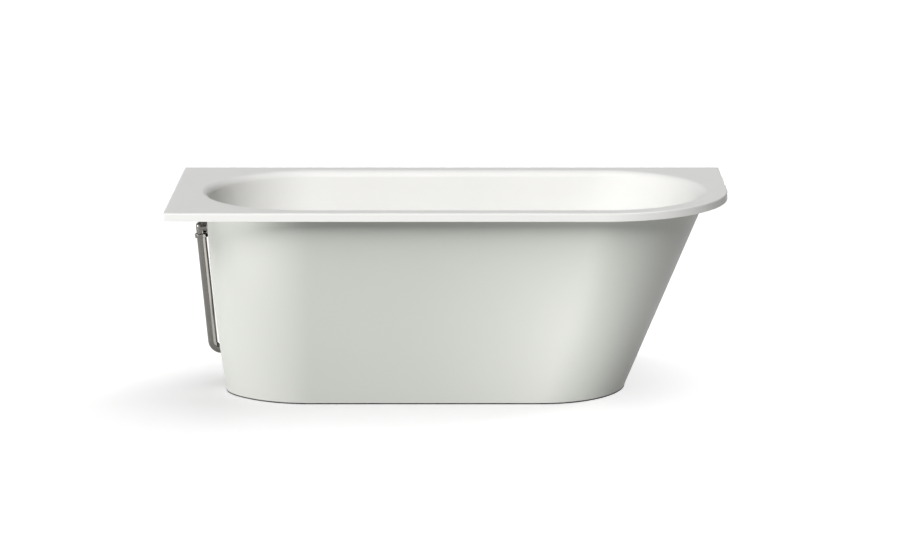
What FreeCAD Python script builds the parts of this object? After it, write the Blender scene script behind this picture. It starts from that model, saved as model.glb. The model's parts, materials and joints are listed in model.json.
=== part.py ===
import FreeCAD, Part
import math
import os
import re
import Sketcher

# A built-in bath: enamelled steel shell, skirt panel, legs, drain, trap and overflow.
# Millimetres. The origin is at the middle of the bottom, X runs to the backrest end,
# Y to the wall behind and Z up.

SIZES = {
    # rim and bowl, one steel pressing
    "rim_length": 1700,
    "rim_depth": 750,
    "rim_height": 600,
    "rim_edge": 25,
    "rim_corner": 390,
    "rim_nose": 4,
    "shell_sheet": 3,
    "land_left": 107,
    "land_right": 74,
    "land_side": 67,
    "roll_radius": 25,
    "foot_slope": 5,
    "back_slope": 33,
    "side_slope": 8,
    "floor_round": 100,
    # holes in the bowl
    "drain_reach": 330,
    "drain_hole": 26,
    "overflow_drop": 115,
    "overflow_hole": 26,
    # skirt panel, set back from the rim's edges at its top and at its base
    "skirt_sheet": 2,
    "skirt_top_left": 108,
    "skirt_top_right": 69,
    "skirt_top_front": 37,
    "skirt_top_bend": 428,
    "skirt_top_nose": 170,
    "skirt_top_turn": 340,
    "skirt_base_left": 160,
    "skirt_base_right": 313,
    "skirt_base_front": 65,
    "skirt_base_bend": 425,
    "skirt_base_nose": 150,
    "skirt_base_turn": 262,
    "skirt_bulge": 8.6,
    "skirt_cut": 265,
    "skirt_wall_gap": 5,
    "flange_lift": 1.5,
    "flange_gap": 1.5,
    "flange_side": 25,
    "seal_height": 4,
    "seal_width": 8,
    # bonding blocks between the skirt's flange and the rim
    "block_length": 60,
    "block_width": 20,
    "block_inset": 10,
    "block_pitch": 280,
    "block_shift": 140,
    "block_end_pitch": 160,
    "block_end_inset": 75,
    # sound mats and earth lug under the floor
    "mat_thick": 3,
    "mat_width": 300,
    "mat_gap": 40,
    "mat_inset": 25,
    "lug_sheet": 2,
    "lug_width": 24,
    "lug_length": 30,
    "lug_drop": 25,
    "lug_screw": 3,
    "lug_screw_length": 14,
    "lug_head": 5.5,
    "lug_head_height": 4,
    # foot bars and legs
    "bar_left_inset": 520,
    "bar_right_inset": 600,
    "bar_width": 40,
    "bar_height": 20,
    "bar_sheet": 2,
    "bar_overhang": 25,
    "bar_pad": 4,
    "bar_pad_length": 60,
    "bar_pad_spread": 200,
    "leg_inset": 140,
    "stud_radius": 5,
    "stud_above": 17,
    "stud_seat": 6,
    "nut_radius": 9.8,
    "nut_height": 8,
    "foot_radius": 25,
    "foot_neck": 11,
    "foot_rim": 5,
    "foot_height": 16,
    # drain flange, plug and body
    "drain_seal": 1.5,
    "drain_flange": 35,
    "drain_flange_edge": 1.5,
    "drain_flange_thick": 3,
    "drain_flange_land": 1.5,
    "seat_radius": 30.5,
    "seat_depth": 3,
    "neck_radius": 24.5,
    "neck_bore": 21,
    "neck_drop": 30,
    "guide_radius": 7,
    "guide_height": 9,
    "guide_rib": 3,
    "ring_radius": 24.6,
    "ring_section": 1.3,
    "plug_foot": 19,
    "plug_foot_height": 1.5,
    "plug_radius": 29,
    "plug_step": 1,
    "plug_edge": 1,
    "plug_crown": 24,
    "plug_crown_rise": 1.2,
    "plug_rise": 0.8,
    "stem_radius": 4,
    "stem_tip": 1,
    "stem_taper": 5,
    "body_seal": 3,
    "body_flange": 40,
    "body_flange_thick": 6,
    "cup_radius": 31,
    "cup_bore": 25.5,
    "cup_depth": 98,
    "cup_floor": 4,
    "spout_radius": 23,
    "spout_bore": 18,
    "spout_length": 16,
    "port_length": 65,
    "port_wall": 3.2,
    "port_seat": 40,
    # lift lever under the plug's stem
    "lever_arm": 15,
    "lever_leg": 18,
    "lever_swing": 48,
    "lever_drop": 64,
    "lever_thick": 5,
    "lever_hub": 5.5,
    "lever_tip": 3,
    "lever_gap": 1.1,
    "lever_pin": 2.5,
    "lever_pin_length": 52,
    # trap and outlet
    "trap_washer": 2,
    "trap_clear": 4,
    "trap_radius": 20,
    "trap_wall": 2,
    "trap_turn": 30,
    "trap_straight": 10,
    "trap_flat": 8,
    "trap_collar": 4,
    "trap_tail": 54,
    "outlet_rise": 86,
    "trap_nut": 28,
    "trap_nut_height": 24,
    "trap_nut_lip": 5,
    "socket_radius": 24,
    "socket_length": 34,
    "socket_overlap": 32,
    "outlet_ring": 4,
    "outlet_gap": 45,
    # overflow, measured from the inside of the wall along its outward normal
    "inner_seal": 4,
    "outer_seal": 3,
    "elbow_flange": 32,
    "elbow_flange_thick": 10,
    "elbow_recess": 6,
    "elbow_radius": 18,
    "elbow_leg": 18,
    "elbow_socket": 14,
    "pipe_offset": 34.5,
    "pipe_radius": 13.5,
    "pipe_wall": 2,
    "pipe_turn": 27,
    "pipe_insert": 10,
    "collar_radius": 20.5,
    "collar_length": 13,
    "pipe_nut_radius": 22,
    "pipe_nut_length": 16,
    "face_radius": 34,
    "face_thick": 4,
    "face_bore": 19,
    "face_neck": 22,
    "face_hub": 7,
    "knob_radius": 33,
    "knob_wall": 3,
    "knob_depth": 14.5,
    "knob_face": 4,
    "knob_gap": 1.5,
    "knob_slot": 16,
    "knob_slot_depth": 7,
    "spindle_radius": 4,
    "spindle_end": 23,
    "crank_radius": 9,
    "crank_thick": 5,
    "crank_pin": 1.5,
    "crank_throw": 6,
    "crank_pin_length": 4,
    "cable_radius": 2.5,
    "cable_start": 30,
    "cable_end": 32,
    "cable_guide_wall": 1.5,
    "cable_guide_length": 6,
    "cable_guide_rib": 2,
    # clearances, and how far cutting shapes run past what they cut
    "run_gap": 0.3,
    "end_gap": 0.5,
    "overrun": 5,
}

# Worked out from the sizes above, in the same sheet.
DERIVED = {
    "half_length": "=rim_length / 2",
    "half_depth": "=rim_depth / 2",
    "trap_low": "=trap_clear + trap_radius",
    "trap_top": "=trap_low + trap_turn + trap_straight",
    "spout_base": "=trap_top + trap_washer",
    "cup_level": "=spout_base + spout_length",
    "floor_level": "=cup_level + cup_depth",
    "bowl_depth": "=rim_height - floor_level",
    "floor_under": "=floor_level - shell_sheet",
    "rim_under": "=rim_height - shell_sheet",
    "edge_level": "=rim_height - rim_edge",
    "mouth_half": "=half_depth - land_side",
    "mouth_left": "=land_left - half_length",
    "mouth_right": "=half_length - land_right",
    "outer_left": "=mouth_left - shell_sheet / cos(foot_slope)",
    "outer_right": "=mouth_right + shell_sheet / cos(back_slope)",
    "outer_half": "=mouth_half + shell_sheet / cos(side_slope)",
    "outer_depth": "=bowl_depth + shell_sheet",
    "drain_x": "=drain_reach - half_length",
    "overflow_x": "=mouth_left + overflow_drop * tan(foot_slope)",
    "overflow_level": "=rim_height - overflow_drop",
    "overflow_turn": "=-90 - foot_slope",
    "seal_bite": "=shell_sheet / 10",
    "flange_level": "=edge_level + flange_lift",
    "skirt_top": "=flange_level + skirt_sheet",
    "skirt_back": "=half_depth - skirt_wall_gap",
    "skirt_end": "=skirt_cut - half_depth",
    "skirt_lean": "=atan((skirt_base_right - skirt_top_right) / (skirt_top - seal_height))",
    "skirt_side_sheet": "=skirt_sheet / cos(skirt_lean)",
    "bar_left_x": "=bar_left_inset - half_length",
    "bar_right_x": "=half_length - bar_right_inset",
    "bar_mid_x": "=(bar_left_x + bar_right_x) / 2",
    "bar_top": "=floor_under - bar_pad",
    "bar_web": "=bar_top - bar_sheet",
    "leg_y": "=half_depth - leg_inset",
    "bar_length": "=2 * (leg_y + bar_overhang)",
    "mat_length": "=(bar_right_x - bar_left_x - bar_width - mat_gap) / 2 - mat_inset",
    "stud_top": "=bar_top + stud_above",
    "flange_top": "=drain_seal + drain_flange_thick",
    "seat_run": "=seat_radius - neck_bore",
    "seat_slant": "=sqrt(seat_run * seat_run + seat_depth * seat_depth)",
    "ring_clear": "=(ring_section + run_gap) * seat_slant",
    "ring_rise": "=((ring_radius - neck_bore) * seat_depth + ring_clear) / seat_run",
    "ring_level": "=flange_top - seat_depth + ring_rise",
    "plug_core": "=ring_radius - ring_section",
    "plug_base": "=ring_level - ring_section - plug_foot_height",
    "plug_shoulder": "=ring_level + ring_section + plug_step",
    "lever_half": "=lever_swing / 2",
    "lever_x": "=drain_x - lever_arm * cos(lever_half)",
    "lever_level": "=floor_level - lever_drop",
    "stem_base": "=lever_tip + lever_gap - lever_drop - lever_arm * sin(lever_half)",
    "trap_nut_base": "=trap_top - trap_collar - trap_nut_lip",
    "trap_span": "=2 * trap_turn + trap_flat",
    "outlet_level": "=trap_low + outlet_rise",
    "outlet_reach": "=half_depth - outlet_gap",
    "socket_start": "=trap_span + trap_turn + trap_tail - socket_overlap",
    "flange_face": "=shell_sheet + outer_seal",
    "axis_out": "=shell_sheet + pipe_offset",
    "pipe_bore": "=pipe_radius - pipe_wall",
    "pipe_fit": "=pipe_radius + run_gap",
    "port_radius": "=pipe_fit + port_wall",
    "port_end": "=drain_x - port_length",
    "run_level": "=cup_level + port_radius - end_gap",
    "knob_back": "=-inner_seal - face_thick - knob_gap",
    "knob_front": "=knob_back - knob_depth",
}
NAMES = {**SIZES, **DERIVED}

doc = FreeCAD.newDocument("bathtub")
sheet = doc.addObject("Spreadsheet::Sheet", "Sizes")
for row, (alias, value) in enumerate(NAMES.items(), start=1):
    sheet.set("A%d" % row, alias)
    sheet.set("B%d" % row, str(value))
    sheet.setAlias("B%d" % row, alias)
doc.recompute()

V = FreeCAD.Vector
UP = V(0, 0, 1)
SAME = 1e-5
PARTS = []


def tied(text):
    """The same formula with each size read from the sheet."""
    def cell(word):
        return "Sizes." + word.group() if word.group() in NAMES else word.group()

    return re.sub(r"[a-z]\w*", cell, text)


def number(text):
    """What a formula of sizes comes to now."""
    return float(sheet.evalExpression(text))


def bind(thing, formulas):
    for name, text in formulas.items():
        thing.setExpression(name, tied(text))


def place(thing, x="0", y="0", z="0", axis=None, angle="0"):
    """Ties a piece's position, and its turn about one axis, to the sheet."""
    if axis is not None:
        thing.Placement = FreeCAD.Placement(V(0, 0, 0), FreeCAD.Rotation(axis, number(angle)))
        bind(thing, {"Placement.Rotation.Angle": angle})
    bind(thing, {"Placement.Base.x": x, "Placement.Base.y": y, "Placement.Base.z": z})


def new_body(label, **where):
    body = doc.addObject("PartDesign::Body", label)
    place(body, **where)
    return body


def keep(thing, label):
    """Marks a finished sub-part and gives it its name."""
    doc.recompute()
    thing.Label = label
    PARTS.append(thing)
    return thing


def sketch(body, name, plane="XY_Plane", level="0"):
    made = body.newObject("Sketcher::SketchObject", name)
    support = [f for f in body.Origin.OriginFeatures if f.Role == plane][0]
    made.AttachmentSupport = [(support, "")]
    made.MapMode = "FlatFace"
    bind(made, {"AttachmentOffset.Base.z": level})
    return made


def datum(made, kind, *where):
    *where, text = where
    at = made.addConstraint(Sketcher.Constraint(kind, *where, number(text)))
    bind(made, {"Constraints[%d]" % at: text})


def ties(made, kind, pairs):
    for pair in pairs:
        made.addConstraint(Sketcher.Constraint(kind, *pair))


def line(made, start, end):
    return made.addGeometry(Part.LineSegment(start, end), False)


def arc(made, centre, radius, start, end):
    return made.addGeometry(Part.ArcOfCircle(Part.Circle(centre, UP, radius), start, end), False)


def outline(body, name, corners, plane="XY_Plane", level="0"):
    """A closed outline of straight sides through corners given as pairs of formulas."""
    made = sketch(body, name, plane, level)
    points = [V(number(a), number(b), 0) for a, b in corners]
    count = len(points)
    for i in range(count):
        line(made, points[i], points[(i + 1) % count])
    ties(made, "Coincident", [(i, 2, (i + 1) % count, 1) for i in range(count)])
    for i, (a, b) in enumerate(corners):
        datum(made, "DistanceX", -1, 1, i, 1, a)
        datum(made, "DistanceY", -1, 1, i, 1, b)
    return made


def discs(body, name, circles, plane="XY_Plane", level="0"):
    """Circles given as formulas of x, y and radius."""
    made = sketch(body, name, plane, level)
    for i, (x, y, radius) in enumerate(circles):
        centre = V(number(x), number(y), 0)
        made.addGeometry(Part.Circle(centre, UP, number(radius)), False)
        datum(made, "DistanceX", -1, 1, i, 3, x)
        datum(made, "DistanceY", -1, 1, i, 3, y)
        datum(made, "Radius", i, radius)
    return made


def feature(body, kind, name, profile, **settings):
    made = body.newObject("PartDesign::" + kind, name)
    made.Profile = profile
    for key, setting in settings.items():
        setattr(made, key, setting)
    return made


def pad(body, name, profile, length, back=False):
    made = feature(body, "Pad", name, profile, Reversed=back)
    bind(made, {"Length": length})
    return made


def pocket(body, name, profile, length, back=False):
    made = feature(body, "Pocket", name, profile, Reversed=back)
    bind(made, {"Length": length})
    return made


def turned(body, name, corners):
    """A solid of revolution about the body's own Z, from an outline of radius and height."""
    profile = outline(body, name + "Profile", corners, "XZ_Plane")
    return feature(body, "Revolution", name, profile, ReferenceAxis=(profile, ["V_Axis"]), Angle=360)


def loft(body, kind, name, sections):
    return feature(body, kind, name, sections[0], Sections=sections[1:])


def along(body, name, path, circles):
    """A round section carried along a path, square to its start."""
    ring = body.newObject("Sketcher::SketchObject", name + "Section")
    ring.AttachmentSupport = [(path, "Edge1")]
    ring.MapMode = "NormalToEdge"
    ring.MapPathParameter = 0
    for i, radius in enumerate(circles):
        ring.addGeometry(Part.Circle(V(0, 0, 0), UP, number(radius)), False)
        ties(ring, "Coincident", [(i, 3, -1, 1)])
        datum(ring, "Radius", i, radius)
    doc.recompute()
    edges = ["Edge%d" % (i + 1) for i in range(len(path.Shape.Edges))]
    return feature(body, "AdditivePipe", name, ring, Spine=(path, edges))


def edges_where(thing, test):
    return ["Edge%d" % (i + 1) for i, edge in enumerate(thing.Shape.Edges) if test(edge)]


def at_level(text):
    level = number(text)
    return lambda edge: all(abs(z - level) < SAME for z in (edge.BoundBox.ZMin, edge.BoundBox.ZMax))


def rounded(body, name, base, edges, radius):
    doc.recompute()
    made = body.newObject("PartDesign::Fillet", name)
    made.Base = (base, edges)
    bind(made, {"Radius": radius})
    doc.recompute()
    return made


def primitive(kind, name, sizes, **where):
    made = doc.addObject("Part::" + kind, name)
    bind(made, sizes)
    place(made, **where)
    return made


def box(name, x, y, z, length, width, height):
    """A block centred on x and y that stands on z."""
    where = {"x": "%s - (%s) / 2" % (x, length), "y": "%s - (%s) / 2" % (y, width), "z": z}
    return primitive("Box", name, {"Length": length, "Width": width, "Height": height}, **where)


def cut(name, base, tool):
    made = doc.addObject("Part::Cut", name)
    made.Base = base
    made.Tool = tool
    return made


def group(name, pieces):
    made = doc.addObject("Part::Compound", name)
    made.Links = pieces
    return made


def rim_outline(body, name, level, inset):
    """The rim from above: a rectangle with one large round corner, moved in by an inset."""
    made = sketch(body, name, level=level)
    far, side = number("half_length"), number("half_depth")
    corner, step = number("rim_corner"), number(inset)
    centre = V(far - corner, corner - side, 0)
    line(made, V(step - far, step - side, 0), V(centre.x, step - side, 0))
    arc(made, centre, corner - step, -math.pi / 2, 0)
    line(made, V(far - step, centre.y, 0), V(far - step, side - step, 0))
    line(made, V(far - step, side - step, 0), V(step - far, side - step, 0))
    line(made, V(step - far, side - step, 0), V(step - far, step - side, 0))
    ties(made, "Tangent", [(0, 2, 1, 1), (1, 2, 2, 1)])
    ties(made, "Coincident", [(2, 2, 3, 1), (3, 2, 4, 1), (4, 2, 0, 1)])
    ties(made, "Horizontal", [(0,), (3,)])
    ties(made, "Vertical", [(2,), (4,)])
    datum(made, "DistanceX", -1, 1, 1, 3, "half_length - rim_corner")
    datum(made, "DistanceY", -1, 1, 1, 3, "rim_corner - half_depth")
    datum(made, "Radius", 1, "rim_corner - (%s)" % inset)
    datum(made, "DistanceX", -1, 1, 0, 1, "%s - half_length" % inset)
    datum(made, "DistanceY", -1, 1, 2, 2, "half_depth - (%s)" % inset)
    return made


def stadium(body, name, level, left, right, half):
    """Two half circles joined by straight sides, the bowl's outline at one level."""
    made = sketch(body, name, level=level)
    radius = number(half)
    near, far = V(number(left) + radius, 0, 0), V(number(right) - radius, 0, 0)
    drop = V(0, radius, 0)
    arc(made, near, radius, math.pi / 2, 3 * math.pi / 2)
    line(made, near - drop, far - drop)
    arc(made, far, radius, -math.pi / 2, math.pi / 2)
    line(made, far + drop, near + drop)
    ties(made, "Tangent", [(0, 2, 1, 1), (1, 2, 2, 1), (2, 2, 3, 1), (3, 2, 0, 1)])
    ties(made, "PointOnObject", [(0, 3, -1), (2, 3, -1)])
    ties(made, "Equal", [(0, 2)])
    datum(made, "DistanceX", -1, 1, 0, 3, "%s + %s" % (left, half))
    datum(made, "DistanceX", -1, 1, 2, 3, "%s - (%s)" % (right, half))
    datum(made, "Radius", 0, half)
    return made


def bath_shell():
    body = new_body("bath_shell")
    block = pad(body, "RimBlock", rim_outline(body, "RimOutline", "edge_level", "0"), "rim_edge")
    doc.recompute()
    far, side = number("half_length"), number("half_depth")

    def at_corner(edge):
        spot = edge.CenterOfMass
        return abs(abs(spot.x) - far) < SAME and abs(abs(spot.y) - side) < SAME

    corners = rounded(body, "RimCorners", block, edges_where(block, at_corner), "rim_nose")
    rounded(body, "RimNose", corners, edges_where(corners, at_level("rim_height")), "rim_nose")
    inside = rim_outline(body, "RimInside", "edge_level", "shell_sheet")
    pocket(body, "RimHollow", inside, "rim_edge - shell_sheet", back=True)

    outer_top = stadium(body, "OuterTop", "rim_height", "outer_left", "outer_right", "outer_half")
    outer_base = stadium(
        body, "OuterBase", "floor_under",
        "outer_left + outer_depth * tan(foot_slope)",
        "outer_right - outer_depth * tan(back_slope)",
        "outer_half - outer_depth * tan(side_slope)",
    )
    loft(body, "AdditiveLoft", "OuterBowl", [outer_top, outer_base])
    inner_top = stadium(body, "InnerTop", "rim_height", "mouth_left", "mouth_right", "mouth_half")
    inner_base = stadium(
        body, "InnerBase", "floor_level",
        "mouth_left + bowl_depth * tan(foot_slope)",
        "mouth_right - bowl_depth * tan(back_slope)",
        "mouth_half - bowl_depth * tan(side_slope)",
    )
    bowl = loft(body, "SubtractiveLoft", "InnerBowl", [inner_top, inner_base])
    doc.recompute()

    def at_mouth(level):
        flat = at_level(level)
        reach = number("mouth_half + roll_radius")
        far_end = number("mouth_right + roll_radius")

        def test(edge):
            spot = edge.BoundBox
            return flat(edge) and max(-spot.YMin, spot.YMax) < reach and spot.XMax < far_end

        return test

    lip = edges_where(bowl, at_mouth("rim_under"))
    under = rounded(body, "RollUnder", bowl, lip, "roll_radius - shell_sheet")
    lip = edges_where(under, at_mouth("rim_height"))
    roll = rounded(body, "RollTop", under, lip, "roll_radius")
    floor_edges = edges_where(roll, at_level("floor_level"))
    floor = rounded(body, "FloorInside", roll, floor_edges, "floor_round")
    floor_edges = edges_where(floor, at_level("floor_under"))
    rounded(body, "FloorOutside", floor, floor_edges, "floor_round + shell_sheet")

    drain = discs(body, "DrainCircle", [("drain_x", "0", "drain_hole")], level="floor_level + overrun")
    pocket(body, "DrainHole", drain, "shell_sheet + 2 * overrun")
    spill = discs(body, "OverflowCircle", [("0", "0", "overflow_hole")])
    turn = FreeCAD.Rotation(V(0, 1, 0), number("overflow_turn"))
    spill.AttachmentOffset = FreeCAD.Placement(V(0, 0, 0), turn)
    bind(spill, {
        "AttachmentOffset.Rotation.Angle": "overflow_turn",
        "AttachmentOffset.Base.x": "overflow_x - (shell_sheet + overrun) * cos(foot_slope)",
        "AttachmentOffset.Base.z": "overflow_level - (shell_sheet + overrun) * sin(foot_slope)",
    })
    pocket(body, "OverflowHole", spill, "shell_sheet + 2 * overrun")
    return keep(body, "bath_shell")


TOP = ["skirt_top_" + name for name in ("left", "right", "front", "bend", "nose", "turn")]
BASE = ["skirt_base_" + name for name in ("left", "right", "front", "bend", "nose", "turn")]
MIDDLE = ["(%s + %s) / 2" % pair for pair in zip(TOP, BASE)]
MIDDLE[0] += " - skirt_bulge"


def skirt_outline(body, name, level, cells, side="0", end="0", cutter=False):
    """The skirt from above at one level. A cutter runs out at the back and at the open left end."""
    left, right, front, bend, nose, turn = cells
    left_x = "%s - half_length + %s" % (left, side)
    right_x = "half_length - (%s) - %s" % (right, end)
    front_y = "%s - half_depth + %s" % (front, side)
    bend_x = "%s - half_length" % bend
    nose_r = "%s - %s" % (nose, side)
    turn_r = "%s - %s" % (turn, side)
    back_y = "skirt_back + overrun" if cutter else "skirt_back"
    out_x = "%s - flange_side - overrun" % left_x

    made = sketch(body, name, level=level)
    x0, x1, x2 = number(left_x), number(bend_x), number(right_x)
    y0, y1, y2 = number(front_y), number("skirt_end"), number(back_y)
    small, wide = number(nose_r), number(turn_r)
    run, rise = x1 - x0 - small, y1 - y0
    big = (run * run + rise * rise - small * small) / (2 * (rise - small))
    join = math.atan2(rise - big, -run) + 2 * math.pi
    arc(made, V(x0 + small, y1, 0), small, math.pi, join)
    arc(made, V(x1, y0 + big, 0), big, join, 3 * math.pi / 2)
    line(made, V(x1, y0, 0), V(x2 - wide, y0, 0))
    arc(made, V(x2 - wide, y0 + wide, 0), wide, -math.pi / 2, 0)
    line(made, V(x2, y0 + wide, 0), V(x2, y2, 0))
    edge = number(out_x) if cutter else x0
    line(made, V(x2, y2, 0), V(edge, y2, 0))
    line(made, V(edge, y2, 0), V(edge, y1, 0))
    ties(made, "Tangent", [(0, 2, 1, 1), (1, 2, 2, 1), (2, 2, 3, 1), (3, 2, 4, 1)])
    ties(made, "Coincident", [(4, 2, 5, 1), (5, 2, 6, 1)])
    ties(made, "Horizontal", [(2,), (5,)])
    ties(made, "Vertical", [(4,), (6,)])
    if cutter:
        line(made, V(edge, y1, 0), V(x0, y1, 0))
        ties(made, "Coincident", [(6, 2, 7, 1), (7, 2, 0, 1)])
        ties(made, "Horizontal", [(7,)])
        datum(made, "DistanceX", -1, 1, 6, 1, out_x)
        datum(made, "DistanceY", -1, 1, 0, 1, "skirt_end")
    else:
        ties(made, "Tangent", [(6, 2, 0, 1)])
    datum(made, "Radius", 0, nose_r)
    datum(made, "DistanceX", -1, 1, 0, 1, left_x)
    datum(made, "DistanceY", -1, 1, 0, 3, "skirt_end")
    datum(made, "DistanceX", -1, 1, 2, 1, bend_x)
    datum(made, "DistanceY", -1, 1, 2, 1, front_y)
    datum(made, "Radius", 3, turn_r)
    datum(made, "DistanceX", -1, 1, 4, 2, right_x)
    datum(made, "DistanceY", -1, 1, 4, 2, back_y)
    return made


def skirt_panel():
    body = new_body("skirt_panel")
    levels = ["seal_height", "(seal_height + skirt_top) / 2", "skirt_top"]
    cells = [BASE, MIDDLE, TOP]
    outer = [skirt_outline(body, "Outer%d" % i, levels[i], cells[i]) for i in range(3)]
    loft(body, "AdditiveLoft", "OuterSkin", outer)

    flange = sketch(body, "FlangeOutline", level="flange_level")
    inset = "shell_sheet + flange_gap"
    left_x = "skirt_top_left - half_length - flange_side"
    x0, x1 = number(left_x), number("half_length - (%s)" % inset)
    y0, y1, y2 = number("%s - half_depth" % inset), number("skirt_end"), number("skirt_back")
    corner = number("rim_corner - (%s)" % inset)
    line(flange, V(x0, y0, 0), V(x1 - corner, y0, 0))
    arc(flange, V(x1 - corner, y0 + corner, 0), corner, -math.pi / 2, 0)
    line(flange, V(x1, y0 + corner, 0), V(x1, y2, 0))
    line(flange, V(x1, y2, 0), V(0, y2, 0))
    line(flange, V(0, y2, 0), V(0, y1, 0))
    line(flange, V(0, y1, 0), V(x0, y1, 0))
    line(flange, V(x0, y1, 0), V(x0, y0, 0))
    ties(flange, "Tangent", [(0, 2, 1, 1), (1, 2, 2, 1)])
    ties(flange, "Coincident", [(i, 2, (i + 1) % 7, 1) for i in range(2, 7)])
    ties(flange, "Horizontal", [(0,), (3,), (5,)])
    ties(flange, "Vertical", [(2,), (4,), (6,)])
    ties(flange, "PointOnObject", [(4, 1, -2)])
    datum(flange, "Radius", 1, "rim_corner - (%s)" % inset)
    datum(flange, "DistanceX", -1, 1, 0, 1, left_x)
    datum(flange, "DistanceY", -1, 1, 0, 1, "%s - half_depth" % inset)
    datum(flange, "DistanceX", -1, 1, 2, 2, "half_length - (%s)" % inset)
    datum(flange, "DistanceY", -1, 1, 2, 2, "skirt_back")
    datum(flange, "DistanceY", -1, 1, 5, 2, "skirt_end")
    pad(body, "Flange", flange, "skirt_sheet")

    walls = {"side": "skirt_sheet", "end": "skirt_side_sheet", "cutter": True}
    inner = [skirt_outline(body, "Inner%d" % i, levels[i], cells[i], **walls) for i in range(3)]
    loft(body, "SubtractiveLoft", "InnerSkin", inner)
    return keep(body, "skirt_panel")


def skirt_floor_seal():
    body = new_body("skirt_floor_seal")
    pad(body, "Strip", skirt_outline(body, "StripOutline", "0", BASE), "seal_height")
    inner = skirt_outline(body, "StripInside", "0", BASE, "seal_width", "seal_width", True)
    pocket(body, "StripHollow", inner, "seal_height", back=True)
    return keep(body, "skirt_floor_seal")


def rim_blocks():
    high = "rim_under - skirt_top"
    inset = "(shell_sheet + flange_gap + block_inset + block_width / 2)"
    front_y = "%s - half_depth" % inset
    end_x = "half_length - %s" % inset
    blocks = []
    for i, step in enumerate((-2, -1, 0, 1)):
        x = "%d * block_pitch + block_shift" % step
        size = ("block_length", "block_width", high)
        blocks.append(box("FrontBlock%d" % i, x, front_y, "skirt_top", *size))
    for i, step in enumerate((0, 1)):
        y = "half_depth - block_end_inset - %d * block_end_pitch" % step
        size = ("block_width", "block_length", high)
        blocks.append(box("EndBlock%d" % i, end_x, y, "skirt_top", *size))
    return keep(group("RimBlocks", blocks), "rim_bonding_blocks")


def under_floor():
    mats = []
    for i, side in enumerate(("-", "+")):
        x = "bar_mid_x %s (mat_length + mat_gap) / 2" % side
        size = ("mat_length", "mat_width", "mat_thick")
        mats.append(box("Mat%d" % i, x, "0", "floor_under - mat_thick", *size))
    keep(group("Mats", mats), "sound_mats")

    lug = new_body("earth_lug", x="bar_mid_x", z="floor_under")
    corners = [
        ("0", "0"),
        ("lug_length", "0"),
        ("lug_length", "-lug_sheet"),
        ("lug_sheet", "-lug_sheet"),
        ("lug_sheet", "-lug_drop"),
        ("0", "-lug_drop"),
    ]
    angle = outline(lug, "AngleOutline", corners, "YZ_Plane", "-lug_width / 2")
    pad(lug, "Angle", angle, "lug_width")
    drop = "(lug_drop + lug_sheet) / 2"
    circle = [("0", "-" + drop, "lug_screw + run_gap")]
    hole = discs(lug, "LugCircle", circle, "XZ_Plane", "overrun")
    pocket(lug, "LugHole", hole, "lug_sheet + 2 * overrun")
    keep(lug, "earth_lug")

    where = {"x": "bar_mid_x", "z": "floor_under - " + drop, "axis": V(1, 0, 0), "angle": "-90"}
    screw = new_body("earth_screw", **where)
    turned(screw, "Screw", [
        ("0", "-lug_head_height"),
        ("lug_head", "-lug_head_height"),
        ("lug_head", "0"),
        ("lug_screw", "0"),
        ("lug_screw", "lug_screw_length"),
        ("0", "lug_screw_length"),
    ])
    keep(screw, "earth_screw")


def foot_bars():
    legs = []
    pads, weld_nuts, lock_nuts = [], [], []
    for end in ("left", "right"):
        x = "bar_%s_x" % end
        body = new_body("foot_bar_" + end, x=x, z="bar_top")
        half = "bar_width / 2"
        thin = "bar_width / 2 - bar_sheet"
        corners = [
            ("-" + half, "0"),
            ("-" + half, "-bar_height"),
            ("-(%s)" % thin, "-bar_height"),
            ("-(%s)" % thin, "-bar_sheet"),
            (thin, "-bar_sheet"),
            (thin, "-bar_height"),
            (half, "-bar_height"),
            (half, "0"),
        ]
        section = outline(body, "Section", corners, "XZ_Plane", "-bar_length / 2")
        pad(body, "Channel", section, "bar_length")
        circles = [("0", side + "leg_y", "stud_radius + end_gap") for side in ("", "-")]
        holes = discs(body, "HoleCircles", circles, level="overrun")
        pocket(body, "StudHoles", holes, "bar_sheet + 2 * overrun")
        keep(body, "foot_bar_" + end)
        for side, name in (("-", "front"), ("", "back")):
            tag = "%s_%s" % (name, end)
            y = side + "leg_y"
            legs.append((tag, x, y))
            pad_y = side + "bar_pad_spread / 2"
            size = ("bar_width", "bar_pad_length", "bar_pad")
            pads.append(box("BarPad_" + tag, x, pad_y, "bar_top", *size))
            weld_nuts.append(hex_nut("WeldNut_" + tag, x, y, "bar_web - nut_height"))
            lock_nuts.append(hex_nut("LockNut_" + tag, x, y, "bar_web - 2 * nut_height"))
    keep(group("BarPads", pads), "foot_bar_pads")
    keep(group("WeldNuts", weld_nuts), "leg_weld_nuts")
    keep(group("LockNuts", lock_nuts), "leg_lock_nuts")
    return legs


def hex_nut(name, x, y, z):
    sides = {"Circumradius": "nut_radius", "Height": "nut_height"}
    blank = primitive("Prism", name + "_blank", sides, x=x, y=y, z=z)
    sizes = {"Radius": "stud_radius + run_gap", "Height": "nut_height + 2 * overrun"}
    bore = primitive("Cylinder", name + "_bore", sizes, x=x, y=y, z="%s - overrun" % z)
    return cut(name, blank, bore)


def leg(tag, x, y):
    stud = new_body("leg_stud_" + tag, x=x, y=y)
    section = discs(stud, "StudCircle", [("0", "0", "stud_radius")], level="stud_seat")
    pad(stud, "Stud", section, "stud_top - stud_seat")
    keep(stud, "leg_stud_" + tag)
    foot = new_body("leg_foot_" + tag, x=x, y=y)
    turned(foot, "Foot", [
        ("0", "0"),
        ("foot_radius", "0"),
        ("foot_radius", "foot_rim"),
        ("foot_neck", "foot_height"),
        ("stud_radius", "foot_height"),
        ("stud_radius", "stud_seat"),
        ("0", "stud_seat"),
    ])
    keep(foot, "leg_foot_" + tag)


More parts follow.
